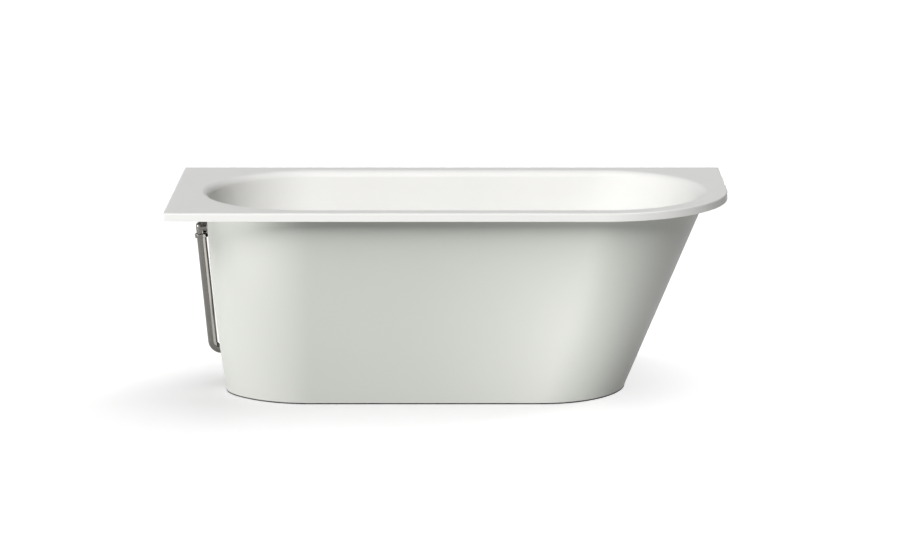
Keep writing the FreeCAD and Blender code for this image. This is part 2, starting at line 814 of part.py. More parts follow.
def washer(label, inner, outer, low, high, **where):
    body = new_body(label, **where)
    turned(body, "Ring", [(inner, low), (outer, low), (outer, high), (inner, high)])
    return keep(body, label)


def fan(body, name, one, count):
    """Copies one feature evenly round the body's own Z."""
    made = body.newObject("PartDesign::PolarPattern", name)
    made.Originals = [one]
    made.Axis = ([f for f in body.Origin.OriginFeatures if f.Role == "Z_Axis"][0], [""])
    made.Angle = 360
    made.Occurrences = count
    body.Tip = made
    doc.recompute()


def spider(body, bore, reach, rib, hub, low, high):
    """A hub held by three ribs inside a neck."""
    tall = "(%s - (%s))" % (high, low)
    pad(body, "Hub", discs(body, "HubCircle", [("0", "0", hub)], level=low), tall)
    half = "%s / 2" % rib
    corners = [("0", "-" + half), (reach, "-" + half), (reach, half), ("0", half)]
    one = pad(body, "Rib", outline(body, "RibOutline", corners, level=low), tall + " / 2")
    fan(body, "Ribs", one, 3)
    hole = discs(body, "GuideCircle", [("0", "0", bore)], level="%s + overrun" % high)
    pocket(body, "GuideBore", hole, tall + " + 2 * overrun")


def drain():
    spot = {"x": "drain_x", "z": "floor_level"}
    flange = new_body("drain_flange", **spot)
    turned(flange, "Flange", [
        ("neck_bore", "-neck_drop"),
        ("neck_radius", "-neck_drop"),
        ("neck_radius", "drain_seal"),
        ("drain_flange", "drain_seal"),
        ("drain_flange", "drain_seal + drain_flange_edge"),
        ("seat_radius + drain_flange_land", "flange_top"),
        ("seat_radius", "flange_top"),
        ("neck_bore", "flange_top - seat_depth"),
    ])
    bore = "stem_radius + run_gap"
    reach = "(neck_bore + neck_radius) / 2"
    high = "guide_height - neck_drop"
    spider(flange, bore, reach, "guide_rib", "guide_radius", "-neck_drop", high)
    keep(flange, "drain_flange")
    washer("drain_flange_seal", "drain_hole", "drain_flange - end_gap", "0", "drain_seal", **spot)
    low = "-shell_sheet - body_seal"
    washer("drain_body_seal", "drain_hole", "body_flange - end_gap", low, "-shell_sheet", **spot)
    drain_body()

    plug = new_body("drain_plug", **spot)
    turned(plug, "Plug", [
        ("0", "plug_base"),
        ("plug_foot", "plug_base"),
        ("plug_core", "ring_level - ring_section"),
        ("plug_core", "ring_level + ring_section"),
        ("plug_radius", "plug_shoulder"),
        ("plug_radius", "plug_shoulder + plug_edge"),
        ("plug_crown", "plug_shoulder + plug_edge + plug_crown_rise"),
        ("0", "plug_shoulder + plug_edge + plug_crown_rise + plug_rise"),
    ])
    keep(plug, "drain_plug")
    tube = {"Radius1": "ring_radius", "Radius2": "ring_section"}
    where = {"x": "drain_x", "z": "floor_level + ring_level"}
    keep(primitive("Torus", "PlugRing", tube, **where), "plug_ring")
    stem = new_body("plug_stem", **spot)
    turned(stem, "Stem", [
        ("0", "stem_base"),
        ("stem_tip", "stem_base"),
        ("stem_radius", "stem_base + stem_taper"),
        ("stem_radius", "plug_base"),
        ("0", "plug_base"),
    ])
    keep(stem, "plug_stem")

    body = new_body("lift_lever", x="lever_x", z="lever_level", axis=V(0, 1, 0), angle="lever_half")
    mid = "-lever_thick / 2"
    pad(body, "Hub", discs(body, "HubCircle", [("0", "0", "lever_hub")], "XZ_Plane", mid), "lever_thick")
    arms = [
        ("-lever_tip", "lever_tip"),
        ("-lever_tip", "-lever_leg"),
        ("lever_tip", "-lever_leg"),
        ("lever_tip", "-lever_tip"),
        ("lever_arm", "-lever_tip"),
        ("lever_arm", "lever_tip"),
    ]
    pad(body, "Arms", outline(body, "ArmOutline", arms, "XZ_Plane", mid), "lever_thick")
    for name, x, z in (("Tip", "lever_arm", "0"), ("Toe", "0", "-lever_leg")):
        end = discs(body, name + "Circle", [(x, z, "lever_tip")], "XZ_Plane", mid)
        pad(body, name, end, "lever_thick")
    circle = [("0", "0", "lever_pin + run_gap")]
    bore = discs(body, "PinCircle", circle, "XZ_Plane", "lever_thick / 2 + overrun")
    pocket(body, "PinBore", bore, "lever_thick + 2 * overrun")
    keep(body, "lift_lever")
    pin = {"Radius": "lever_pin", "Height": "lever_pin_length"}
    where = {"x": "lever_x", "y": "lever_pin_length / 2", "z": "lever_level"}
    keep(primitive("Cylinder", "LeverPin", pin, axis=V(1, 0, 0), angle="90", **where), "lever_pin")


def drain_body():
    body = new_body("drain_body", x="drain_x")
    top = "floor_under - body_seal"
    turned(body, "Cup", [
        ("spout_bore", "spout_base"),
        ("spout_radius", "spout_base"),
        ("spout_radius", "cup_level"),
        ("cup_radius", "cup_level"),
        ("cup_radius", "%s - body_flange_thick" % top),
        ("body_flange", "%s - body_flange_thick" % top),
        ("body_flange", top),
        ("cup_bore", top),
        ("cup_bore", "cup_level + cup_floor"),
        ("spout_bore", "cup_level + cup_floor"),
    ])
    start = "-(cup_radius + cup_bore) / 2"
    tube = discs(body, "PortCircle", [("0", "run_level", "port_radius")], "YZ_Plane", start)
    pad(body, "Port", tube, "port_length + (%s)" % start, back=True)
    way = discs(body, "WayCircle", [("0", "run_level", "pipe_bore")], "YZ_Plane", "0")
    pocket(body, "PortWay", way, "port_length + overrun")
    seat = discs(body, "SeatCircle", [("0", "run_level", "pipe_fit")], "YZ_Plane", "-port_seat")
    pocket(body, "PortSeat", seat, "port_length - port_seat + overrun")
    circle = [("lever_x - drain_x", "lever_level", "lever_pin")]
    pin = discs(body, "PinCircle", circle, "XZ_Plane", "lever_pin_length / 2")
    pocket(body, "PinHole", pin, "lever_pin_length")
    keep(body, "drain_body")


def path_sketch(body, name, plane, points, radii):
    """Straight runs with tangent bends of given radii; the corners are pairs of formulas."""
    made = sketch(body, name, plane)
    spots = [V(number(a), number(b), 0) for a, b in points]
    runs = []
    bends = []
    start = spots[0]
    for i in range(1, len(spots)):
        if i == len(spots) - 1:
            runs.append(line(made, start, spots[i]))
            break
        ahead = (spots[i + 1] - spots[i]).normalize()
        behind = (spots[i - 1] - spots[i]).normalize()
        half = behind.getAngle(ahead) / 2
        radius = number(radii[i - 1])
        before = spots[i] + behind * (radius / math.tan(half))
        after = spots[i] + ahead * (radius / math.tan(half))
        centre = spots[i] + (behind + ahead).normalize() * (radius / math.sin(half))
        runs.append(line(made, start, before))
        leftward = ahead.cross(behind).z > 0
        ends = (before - centre, after - centre) if leftward else (after - centre, before - centre)
        angles = [math.atan2(end.y, end.x) for end in ends]
        bends.append((arc(made, centre, radius, *angles), (1, 2) if leftward else (2, 1)))
        start = after
    for i, (bend, (first, last)) in enumerate(bends):
        ties(made, "Tangent", [(runs[i], 2, bend, first), (bend, last, runs[i + 1], 1)])
        datum(made, "Radius", bend, radii[i])
        corner = made.addGeometry(Part.Point(spots[i + 1]), True)
        datum(made, "DistanceX", -1, 1, corner, 1, points[i + 1][0])
        datum(made, "DistanceY", -1, 1, corner, 1, points[i + 1][1])
        ties(made, "PointOnObject", [(corner, 1, runs[i]), (corner, 1, runs[i + 1])])
    for run, pos, (a, b) in ((runs[0], 1, points[0]), (runs[-1], 2, points[-1])):
        datum(made, "DistanceX", -1, 1, run, pos, a)
        datum(made, "DistanceY", -1, 1, run, pos, b)
    return made


def trap():
    spot = {"x": "drain_x"}
    washer("trap_washer", "spout_bore", "spout_radius", "trap_top", "spout_base", **spot)

    bend = new_body("trap_bend", x="drain_x")
    points = [
        ("0", "trap_top"),
        ("0", "trap_low"),
        ("trap_span", "trap_low"),
        ("trap_span", "outlet_level"),
        ("trap_span + trap_turn + trap_tail", "outlet_level"),
    ]
    path = path_sketch(bend, "TrapPath", "YZ_Plane", points, ["trap_turn"] * 3)
    along(bend, "TrapTube", path, ["trap_radius", "trap_radius - trap_wall"])
    collar = discs(bend, "CollarCircle", [
        ("0", "0", "spout_radius"),
        ("0", "0", "trap_radius - trap_wall / 2"),
    ], level="trap_top")
    pad(bend, "Collar", collar, "trap_collar", back=True)
    keep(bend, "trap_bend")

    nut = new_body("trap_nut", x="drain_x", z="trap_nut_base")
    turned(nut, "Nut", [
        ("trap_radius + run_gap", "0"),
        ("trap_nut", "0"),
        ("trap_nut", "trap_nut_height"),
        ("spout_radius + run_gap", "trap_nut_height"),
        ("spout_radius + run_gap", "trap_nut_lip"),
        ("trap_radius + run_gap", "trap_nut_lip"),
    ])
    keep(nut, "trap_nut")

    line_up = {"x": "drain_x", "z": "outlet_level", "axis": V(1, 0, 0), "angle": "-90"}
    pipe = new_body("waste_outlet_pipe", y="socket_start", **line_up)
    reach = "outlet_reach - socket_start"
    turned(pipe, "Outlet", [
        ("trap_radius + run_gap", "0"),
        ("socket_radius", "0"),
        ("socket_radius", "socket_length"),
        ("trap_radius", "socket_length + socket_radius - trap_radius"),
        ("trap_radius", reach),
        ("trap_radius - trap_wall", reach),
        ("trap_radius - trap_wall", "socket_length"),
        ("trap_radius + run_gap", "socket_length"),
    ])
    keep(pipe, "waste_outlet_pipe")
    inner = "trap_radius + run_gap"
    washer("waste_outlet_ring", inner, "socket_radius", "-outlet_ring", "0", y="socket_start", **line_up)


def overflow(shell):
    spot = {"x": "overflow_x", "z": "overflow_level", "axis": V(0, 1, 0), "angle": "overflow_turn"}
    seals = {
        "overflow_inner_seal": ("-inner_seal", "seal_bite", "face_radius - end_gap"),
        "overflow_outer_seal": ("seal_bite", "flange_face", "elbow_flange - end_gap"),
    }
    bore = "overflow_hole"
    for label, (low, high, radius) in seals.items():
        blank = new_body(label + "_blank", **spot)
        turned(blank, "Ring", [(bore, low), (radius, low), (radius, high), (bore, high)])
        doc.recompute()
        keep(cut(label + "_cut", blank, shell), label)

    elbow = new_body("overflow_elbow", **spot)
    plate = discs(elbow, "PlateCircle", [("0", "0", "elbow_flange")], level="flange_face")
    pad(elbow, "Plate", plate, "elbow_flange_thick")
    stub = discs(elbow, "StubCircle", [("0", "0", "elbow_radius")], level="flange_face")
    pad(elbow, "Stub", stub, "axis_out - flange_face")
    drop = discs(elbow, "LegCircle", [("0", "axis_out", "elbow_radius")], "YZ_Plane")
    pad(elbow, "Leg", drop, "elbow_leg", back=True)
    ball = elbow.newObject("PartDesign::AdditiveSphere", "Corner")
    ball.AttachmentSupport = stub.AttachmentSupport
    ball.MapMode = "FlatFace"
    bind(ball, {"Radius": "elbow_radius", "AttachmentOffset.Base.z": "axis_out"})
    way = discs(elbow, "WayCircle", [("0", "0", "pipe_bore")], level="axis_out")
    pocket(elbow, "Way", way, "axis_out")
    fall = discs(elbow, "FallCircle", [("0", "axis_out", "pipe_bore")], "YZ_Plane")
    pocket(elbow, "Fall", fall, "elbow_leg + overrun")
    recess = discs(elbow, "RecessCircle", [("0", "0", "face_neck + run_gap")], level="flange_face")
    pocket(elbow, "Recess", recess, "elbow_recess", back=True)
    circle = [("0", "axis_out", "pipe_fit")]
    socket = discs(elbow, "SocketCircle", circle, "YZ_Plane", "elbow_socket - elbow_leg")
    pocket(elbow, "Socket", socket, "elbow_socket + overrun")
    keep(elbow, "overflow_elbow")

    down = down_the_pipe("elbow_leg")
    washer("overflow_collar", "pipe_fit", "collar_radius", "-collar_length", "0", **down)
    tube = ["pipe_radius", "pipe_bore"]
    pipe_run("overflow_pipe", "elbow_leg - pipe_insert", "drain_x - port_seat", tube)
    pipe_run("control_cable", "cable_start", "drain_x - cable_end", ["cable_radius"])
    cable_guide("cable_guide_upper", **down_the_pipe("cable_start + cable_guide_length"))
    near = "drain_x - cable_end - cable_guide_length"
    cable_guide("cable_guide_lower", x=near, z="run_level", axis=V(0, 1, 0), angle="90")
    side = {"x": "port_end", "z": "run_level", "axis": V(0, 1, 0), "angle": "-90"}
    washer("overflow_pipe_nut", "pipe_fit", "pipe_nut_radius", "0", "pipe_nut_length", **side)

    face = new_body("overflow_face", **spot)
    turned(face, "Face", [
        ("face_bore", "-inner_seal - face_thick"),
        ("face_radius", "-inner_seal - face_thick"),
        ("face_radius", "-inner_seal"),
        ("face_neck", "-inner_seal"),
        ("face_neck", "flange_face + elbow_recess - end_gap"),
        ("face_bore", "flange_face + elbow_recess - end_gap"),
    ])
    reach = "(face_bore + face_neck) / 2"
    low = "-inner_seal - face_thick"
    spider(face, "spindle_radius + run_gap", reach, "guide_rib", "face_hub", low, "flange_face")
    keep(face, "overflow_face")

    knob = new_body("overflow_knob", **spot)
    turned(knob, "Knob", [
        ("0", "knob_front"),
        ("knob_radius", "knob_front"),
        ("knob_radius", "knob_back"),
        ("knob_radius - knob_wall", "knob_back"),
        ("knob_radius - knob_wall", "knob_front + knob_face"),
        ("face_hub", "knob_front + knob_face"),
        ("face_hub", "knob_back"),
        ("spindle_radius", "knob_back"),
        ("spindle_radius", "knob_front + knob_face"),
        ("0", "knob_front + knob_face"),
    ])
    corners = [
        ("knob_radius / 2", "-knob_slot / 2"),
        ("knob_radius + overrun", "-knob_slot / 2"),
        ("knob_radius + overrun", "knob_slot / 2"),
        ("knob_radius / 2", "knob_slot / 2"),
    ]
    notch = outline(knob, "SlotOutline", corners, level="knob_back + overrun")
    fan(knob, "Slots", pocket(knob, "Slot", notch, "knob_slot_depth + overrun"), 5)
    keep(knob, "overflow_knob")

    spindle = new_body("knob_spindle", **spot)
    rod = discs(spindle, "RodCircle", [("0", "0", "spindle_radius")], level="knob_front + knob_face")
    pad(spindle, "Rod", rod, "spindle_end - knob_front - knob_face")
    keep(spindle, "knob_spindle")
    crank = new_body("spindle_crank", **spot)
    disc = discs(crank, "DiscCircle", [
        ("0", "0", "crank_radius"),
        ("0", "0", "spindle_radius"),
    ], level="spindle_end - crank_thick")
    pad(crank, "Disc", disc, "crank_thick")
    peg = discs(crank, "PegCircle", [("0", "crank_throw", "crank_pin")], level="spindle_end - end_gap")
    pad(crank, "Peg", peg, "crank_pin_length")
    keep(crank, "spindle_crank")


def cable_guide(label, **where):
    """A ring with a hub on ribs, which holds an end of the cable in the middle of the pipe."""
    body = new_body(label, **where)
    inner = "pipe_bore - cable_guide_wall"
    turned(body, "Ring", [
        (inner, "0"),
        ("pipe_bore", "0"),
        ("pipe_bore", "cable_guide_length"),
        (inner, "cable_guide_length"),
    ])
    hub = "cable_radius + cable_guide_wall"
    reach = "pipe_bore - cable_guide_wall / 2"
    spider(body, "cable_radius", reach, "cable_guide_rib", hub, "0", "cable_guide_length")
    keep(body, label)


def down_the_pipe(reach):
    """A place on the sloping pipe's axis, as far down from the overflow's axis as reach says."""
    return {
        "x": "overflow_x - axis_out * cos(foot_slope) + (%s) * sin(foot_slope)" % reach,
        "z": "overflow_level - axis_out * sin(foot_slope) - (%s) * cos(foot_slope)" % reach,
        "axis": V(0, 1, 0),
        "angle": "-foot_slope",
    }


def pipe_run(label, start, end, circles):
    """A tube down beside the wall, round one bend and level to the drain."""
    body = new_body(label)
    head, first = down_the_pipe("0"), down_the_pipe(start)
    foot_x = "%s + (%s - run_level) * tan(foot_slope)" % (head["x"], head["z"])
    points = [(first["x"], first["z"]), (foot_x, "run_level"), (end, "run_level")]
    path = path_sketch(body, "RunPath", "XZ_Plane", points, ["pipe_turn"])
    along(body, "Tube", path, circles)
    keep(body, label)


shell_body = bath_shell()
skirt_panel()
skirt_floor_seal()
rim_blocks()
under_floor()
for tag, leg_x, leg_y in foot_bars():
    leg(tag, leg_x, leg_y)
drain()
trap()
overflow(shell_body)

doc.recompute()
for thing in doc.Objects:
    if "Invalid" in thing.State or "Error" in thing.State:
        raise RuntimeError("%s did not rebuild: %s" % (thing.Label, thing.State))
os.makedirs("parts", exist_ok=True)
for thing in PARTS:
    shape = thing.Shape
    if shape.isNull() or not shape.isValid() or not shape.Solids:
        raise RuntimeError("%s has no sound solid" % thing.Label)
    shape.exportStep("parts/%s.step" % thing.Label)
    print(thing.Label, len(shape.Solids), round(shape.Volume))
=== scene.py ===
# %% [markdown]
# # A built-in bathtub
# The bath is a white enamelled steel shell behind a pale green skirt, with its waste and
# legs underneath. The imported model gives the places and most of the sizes. This file puts
# finer surfaces and finishes on it, one step to a cell.

# %% The frame
import json
import math

import bmesh
import bpy
import numpy as np
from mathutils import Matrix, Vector


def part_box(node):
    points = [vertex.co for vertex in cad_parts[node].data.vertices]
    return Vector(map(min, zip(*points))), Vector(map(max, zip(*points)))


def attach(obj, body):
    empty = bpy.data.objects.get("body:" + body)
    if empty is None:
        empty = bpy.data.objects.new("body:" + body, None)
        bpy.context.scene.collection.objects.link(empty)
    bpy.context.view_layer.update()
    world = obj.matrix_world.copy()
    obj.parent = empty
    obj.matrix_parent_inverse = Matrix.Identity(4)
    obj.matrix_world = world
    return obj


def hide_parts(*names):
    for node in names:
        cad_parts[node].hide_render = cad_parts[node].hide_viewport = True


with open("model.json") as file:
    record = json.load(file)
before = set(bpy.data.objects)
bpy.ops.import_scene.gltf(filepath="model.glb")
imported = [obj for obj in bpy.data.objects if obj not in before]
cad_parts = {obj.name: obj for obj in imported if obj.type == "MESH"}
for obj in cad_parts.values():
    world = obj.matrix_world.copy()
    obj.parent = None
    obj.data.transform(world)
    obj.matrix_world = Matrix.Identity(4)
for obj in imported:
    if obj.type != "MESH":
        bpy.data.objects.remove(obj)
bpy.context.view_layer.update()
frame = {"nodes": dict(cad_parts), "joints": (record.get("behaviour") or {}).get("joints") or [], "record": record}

nodes = frame["nodes"]
joints = {joint["name"]: joint for joint in frame["joints"]}

# %% [markdown]
# ## From arrays to meshes
# A pressed or turned piece can be modelled by pushing vertices about, or by writing down
# the surface it follows. The second way is used here: a surface is a function of two
# parameters, worked out as one array of points, and the faces join neighbours in it.

# %% Grids
MERGE = 1e-6


def grid(points, wrap_rows=False, wrap_columns=False):
    """A (rows, columns, 3) array with the four corner numbers of each face between neighbours."""
    rows, columns = points.shape[:2]
    numbers = np.arange(rows * columns).reshape(rows, columns)
    if wrap_rows:
        numbers = np.vstack([numbers, numbers[:1]])
    if wrap_columns:
        numbers = np.hstack([numbers, numbers[:, :1]])
    corners = (numbers[:-1, :-1], numbers[:-1, 1:], numbers[1:, 1:], numbers[1:, :-1])
    return points.reshape(-1, 3), np.stack(corners, -1).reshape(-1, 4)


def mesh_of(name, *grids):
    """One mesh from several grids, with doubles merged and all faces outwards."""
    starts = np.cumsum([0] + [len(points) for points, _ in grids])
    points = np.concatenate([points for points, _ in grids])
    faces = np.concatenate([faces + start for (_, faces), start in zip(grids, starts)])
    mesh = bpy.data.meshes.new(name)
    mesh.vertices.add(len(points))
    mesh.vertices.foreach_set("co", points.astype(np.float32).ravel())
    mesh.loops.add(faces.size)
    mesh.loops.foreach_set("vertex_index", faces.astype(np.int32).ravel())
    mesh.polygons.add(len(faces))
    mesh.polygons.foreach_set("loop_start", np.arange(0, faces.size, 4, dtype=np.int32))
    mesh.update(calc_edges=True)
    work = bmesh.new()
    work.from_mesh(mesh)
    bmesh.ops.remove_doubles(work, verts=work.verts, dist=MERGE)
    bmesh.ops.dissolve_degenerate(work, edges=work.edges, dist=MERGE)
    bmesh.ops.recalc_face_normals(work, faces=work.faces)
    work.to_mesh(mesh)
    work.free()
    return mesh

# %% [markdown]
# ## Finishes
# Nothing on the bath is one flat colour. Fired enamel has a faint ripple like orange
# peel, plating is rubbed a little unevenly, and moulded plastic is mottled. Three shader
# groups hold these effects. They read Object coordinates, so that a pattern stays fixed
# to the piece, and each finish below gives them its own values.

# %% Shader groups
def add(tree, kind, inputs=(), **settings):
    """A node of one kind with its settings, and a value or a link on each named input."""
    made = tree.nodes.new("ShaderNode" + kind)
    for name, value in settings.items():
        setattr(made, name, value)
    for name, value in dict(inputs).items():
        if isinstance(value, bpy.types.NodeSocket):
            tree.links.new(value, made.inputs[name])
        else:
            made.inputs[name].default_value = value
    return made


def new_group(name, inputs, output, kind):
    """An empty shader group with its named sockets."""
    group = bpy.data.node_groups.new(name, "ShaderNodeTree")
    for label, (socket_kind, value) in inputs.items():
        group.interface.new_socket(label, in_out="INPUT", socket_type=socket_kind).default_value = value
    group.interface.new_socket(output, in_out="OUTPUT", socket_type=kind)
    return group, group.nodes.new("NodeGroupInput"), group.nodes.new("NodeGroupOutput")


def noise_in(group, scale, detail):
    """Noise on the piece's own coordinates."""
    place = add(group, "TexCoord").outputs["Object"]
    return add(group, "TexNoise", {"Vector": place, "Scale": scale, "Detail": detail}).outputs["Fac"]


FLOAT, COLOUR = "NodeSocketFloat", "NodeSocketColor"
BLACK, WHITE = (0, 0, 0, 1), (1, 1, 1, 1)
# A Mix node has sockets for each kind of data. These are the numbers of those for colours.
MIX_SHARE, MIX_FIRST, MIX_SECOND, MIX_RESULT = 0, 6, 7, 2
# Nearly all of a noise lies between these two values.
NOISE_LOW, NOISE_HIGH = 0.3, 0.7

mottle, start, end = new_group(
    "mottle", {"Scale": (FLOAT, 10.0), "Dark": (COLOUR, BLACK), "Light": (COLOUR, WHITE)}, "Color", COLOUR
)
amount = noise_in(mottle, start.outputs["Scale"], detail=4)
shades = {MIX_SHARE: amount, MIX_FIRST: start.outputs["Dark"], MIX_SECOND: start.outputs["Light"]}
shade = add(mottle, "Mix", shades, data_type="RGBA")
mottle.links.new(shade.outputs[MIX_RESULT], end.inputs["Color"])

rubbed, start, end = new_group(
    "rubbed", {"Scale": (FLOAT, 10.0), "Low": (FLOAT, 0.2), "High": (FLOAT, 0.4)}, "Roughness", FLOAT
)
amount = noise_in(rubbed, start.outputs["Scale"], detail=6)
spread = add(rubbed, "MapRange", {
    "Value": amount, "From Min": NOISE_LOW, "From Max": NOISE_HIGH,
    "To Min": start.outputs["Low"], "To Max": start.outputs["High"],
})
rubbed.links.new(spread.outputs["Result"], end.inputs["Roughness"])

ripple, start, end = new_group("ripple", {"Scale": (FLOAT, 100.0), "Coarse": (FLOAT, 0.2)}, "Height", FLOAT)
scale, coarse = start.outputs["Scale"], start.outputs["Coarse"]
fine = noise_in(ripple, scale, detail=2)
slow_scale = add(ripple, "Math", {0: scale, 1: coarse}, operation="MULTIPLY")
slow = noise_in(ripple, slow_scale.outputs[0], detail=1)
total = add(ripple, "Math", {0: fine, 1: slow}, operation="ADD")
ripple.links.new(total.outputs[0], end.inputs["Height"])
print("groups:", [group.name for group in bpy.data.node_groups])

# %% [markdown]
# A finish is one Principled shader. What stays the same all over the piece is set on the
# shader itself, and the three groups feed colour, roughness and the height of a bump.

# %% One finish
def srgb(red, green, blue):
    """A screen colour, 0 to 255, as the linear values that shaders work in, by the sRGB curve."""
    share = np.array([red, green, blue]) / 255
    linear = np.where(share <= 0.04045, share / 12.92, ((share + 0.055) / 1.055) ** 2.4)
    return (*linear.tolist(), 1.0)


def finish(name, dark, light, patch, rough, rub, peel, height, coarse=0.2, **constant):
    """A material: two near shades, a range of roughness, and a bump of given scale and height."""
    made = bpy.data.materials.new(name)
    made.use_nodes = True
    tree = made.node_tree
    shader = tree.nodes["Principled BSDF"]
    for socket, value in constant.items():
        shader.inputs[socket.replace("_", " ")].default_value = value
    shades = {"Scale": patch, "Dark": srgb(*dark), "Light": srgb(*light)}
    colour = add(tree, "Group", shades, node_tree=mottle)
    tree.links.new(colour.outputs["Color"], shader.inputs["Base Color"])
    dull = add(tree, "Group", {"Scale": rub, "Low": rough[0], "High": rough[1]}, node_tree=rubbed)
    tree.links.new(dull.outputs["Roughness"], shader.inputs["Roughness"])
    waves = add(tree, "Group", {"Scale": peel, "Coarse": coarse}, node_tree=ripple)
    bump = add(tree, "Bump", {"Height": waves.outputs["Height"], "Strength": 1.0, "Distance": height})
    tree.links.new(bump.outputs["Normal"], shader.inputs["Normal"])
    return made

# %% [markdown]
# The photo shows white enamel, pale green enamel and dark chrome. Their colours were
# adjusted until the render came close to it. Black rubber shows only as the line under the
# skirt. The other finishes are out of sight and are the usual ones: zinc plate, plastics, felt
# and bonding compound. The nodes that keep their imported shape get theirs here, and every piece
# made below takes one of the same list.

# %% Finishes of the bath
# Each row gives a name, two shades, the scale of their patches, the lowest and highest
# roughness, the scale of its changes, and the scale and height of the bump.
FINISHES = {
    "enamel_white": finish(
        "white enamel", (242, 242, 239), (245, 244, 242), 3, (0.46, 0.52), 9, 240, 0.00002,
        Specular_IOR_Level=0.2,
    ),
    "enamel_green": finish(
        "pale green enamel", (197, 199, 193), (200, 202, 196), 3, (0.42, 0.48), 9, 300, 0.00002,
        Specular_IOR_Level=0.3,
    ),
    "chrome": finish(
        "dark chrome", (112, 110, 106), (122, 120, 116), 25, (0.14, 0.24), 60, 120, 0.00001, Metallic=1.0,
    ),
    "zinc_steel": finish(
        "zinc plate", (150, 151, 150), (188, 188, 184), 45, (0.32, 0.5), 70, 500, 0.00003, Metallic=1.0,
    ),
    "rubber": finish("black rubber", (30, 30, 30), (40, 40, 39), 60, (0.55, 0.7), 90, 900, 0.00005),
    "bitumen": finish(
        "bitumen felt", (34, 33, 32), (52, 51, 49), 120, (0.75, 0.9), 150, 600, 0.0004, coarse=0.3,
    ),
    "bond": finish(
        "bonding compound", (150, 151, 149), (166, 166, 163), 80, (0.6, 0.75), 60, 300, 0.0003, coarse=0.3,
    ),
    "white_plastic": finish(
        "white plastic", (226, 226, 222), (233, 233, 229), 30, (0.38, 0.5), 40, 900, 0.00003,
    ),
    "dark_plastic": finish("black plastic", (36, 36, 37), (46, 46, 47), 40, (0.42, 0.55), 60, 900, 0.00005),
}
for subpart in frame["record"]["subparts"]:
    for slot in nodes[subpart["node"]].material_slots:
        slot.material = FINISHES[subpart["material_slot"]]

# %% [markdown]
# A piece is a mesh with one of these finishes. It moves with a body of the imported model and
# stands for the nodes it replaces. Its faces shade smoothly into each other up to the angle
# below, so that only real edges look sharp.

# %% Pieces
SMOOTH_UP_TO = math.radians(32)


def piece(name, mesh, slot, body, *replaced):
    """A finished piece: smooth shaded, riding on a body and standing for CAD nodes."""
    mesh.polygons.foreach_set("use_smooth", np.ones(len(mesh.polygons), bool))
    mesh.set_sharp_from_angle(angle=SMOOTH_UP_TO)
    made = bpy.data.objects.new(name, mesh)
    bpy.context.scene.collection.objects.link(made)
    made.data.materials.append(FINISHES[slot])
    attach(made, body)
    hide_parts(*replaced)
    print("piece:", name, len(mesh.polygons), "faces")
    return made

# %% [markdown]
# ## The shell
# The real shell is one steel sheet, pressed into a bowl with a flat rim and a turned-down
# edge, then enamelled white. It could be lofted between sections. Here it is one closed
# sheet over two parameters. The columns go once round the mouth, and the rows go from the
# drain up the inside, over the rim and back down the outside. The mouth is a stadium, two
# half circles joined by straight sides, which gets smaller towards the floor as each wall
# leans in.

# %% Shell sizes
shell_low, shell_high = (np.array(corner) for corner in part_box("bath_shell"))
SHEET = 0.003
RIM_TOP = shell_high[2]
RIM_FOOT = 0.575
FLOOR_TOP = shell_low[2] + SHEET
MOUTH_LEFT, MOUTH_RIGHT, MOUTH_HALF = -0.743, 0.776, 0.308
FOOT_LEAN, BACK_LEAN, SIDE_LEAN = np.radians([5, 33, 8])
ROLL, FLOOR_ROUND, NOSE = 0.025, 0.100, 0.004
FRONT_CORNER = 0.390
drain_low, drain_high = (np.array(corner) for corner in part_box("drain_flange"))
DRAIN = (drain_low + drain_high)[:2] / 2
DRAIN_HOLE = 0.026

END_COLUMNS, SIDE_COLUMNS, CORNER_COLUMNS = 96, 60, 8


def corner_turns(centre, corner):
    """Angles of rays from one end's centre to a small rim corner, evenly from its start to its end."""
    near = np.sign(corner) * NOSE
    first = corner - centre - [0, near[1]]
    last = corner - centre - [near[0], 0]
    return np.linspace(np.arctan2(first[1], first[0]), np.arctan2(last[1], last[0]), CORNER_COLUMNS)


left_centre = np.array([MOUTH_LEFT + MOUTH_HALF, 0])
right_centre = np.array([MOUTH_RIGHT - MOUTH_HALF, 0])
front_left = corner_turns(left_centre, shell_low[:2])
back_left = corner_turns(left_centre, np.array([shell_low[0], shell_high[1]]))
back_right = corner_turns(right_centre, shell_high[:2])
half_turn = np.linspace(0, np.pi, END_COLUMNS, endpoint=False)
left_turns = np.sort(np.concatenate([half_turn + np.pi / 2, back_left, front_left % (2 * np.pi)]))
right_turns = np.sort(np.concatenate([half_turn - np.pi / 2, back_right]))
side = np.linspace(0, 1, SIDE_COLUMNS, endpoint=False)
to_front, to_back = np.full(SIDE_COLUMNS, 1.5 * np.pi), np.full(SIDE_COLUMNS, np.pi / 2)
turn = np.concatenate([left_turns, to_front, right_turns, to_back])
along = np.concatenate([0 * left_turns, side, 0 * right_turns + 1, 1 - side])
out = np.stack([np.cos(turn), np.sin(turn)], -1)
aside = np.stack([-np.sin(turn), np.cos(turn)], -1)
print("shell:", len(turn), "columns round the mouth")

# %% [markdown]
# Each fillet is worked out in the plane of the wall's own lean. An arc of radius r that
# touches two faces at an angle starts r times the tangent of half the turn away from
# their meeting line. The same function gives the outer skin, one sheet further out.

# %% Bowl rows
CROWDED = 0.7


def steps(start, end, count):
    """Evenly spaced values as a column, so that they meet a row of columns."""
    return np.linspace(start, end, count)[:, None]


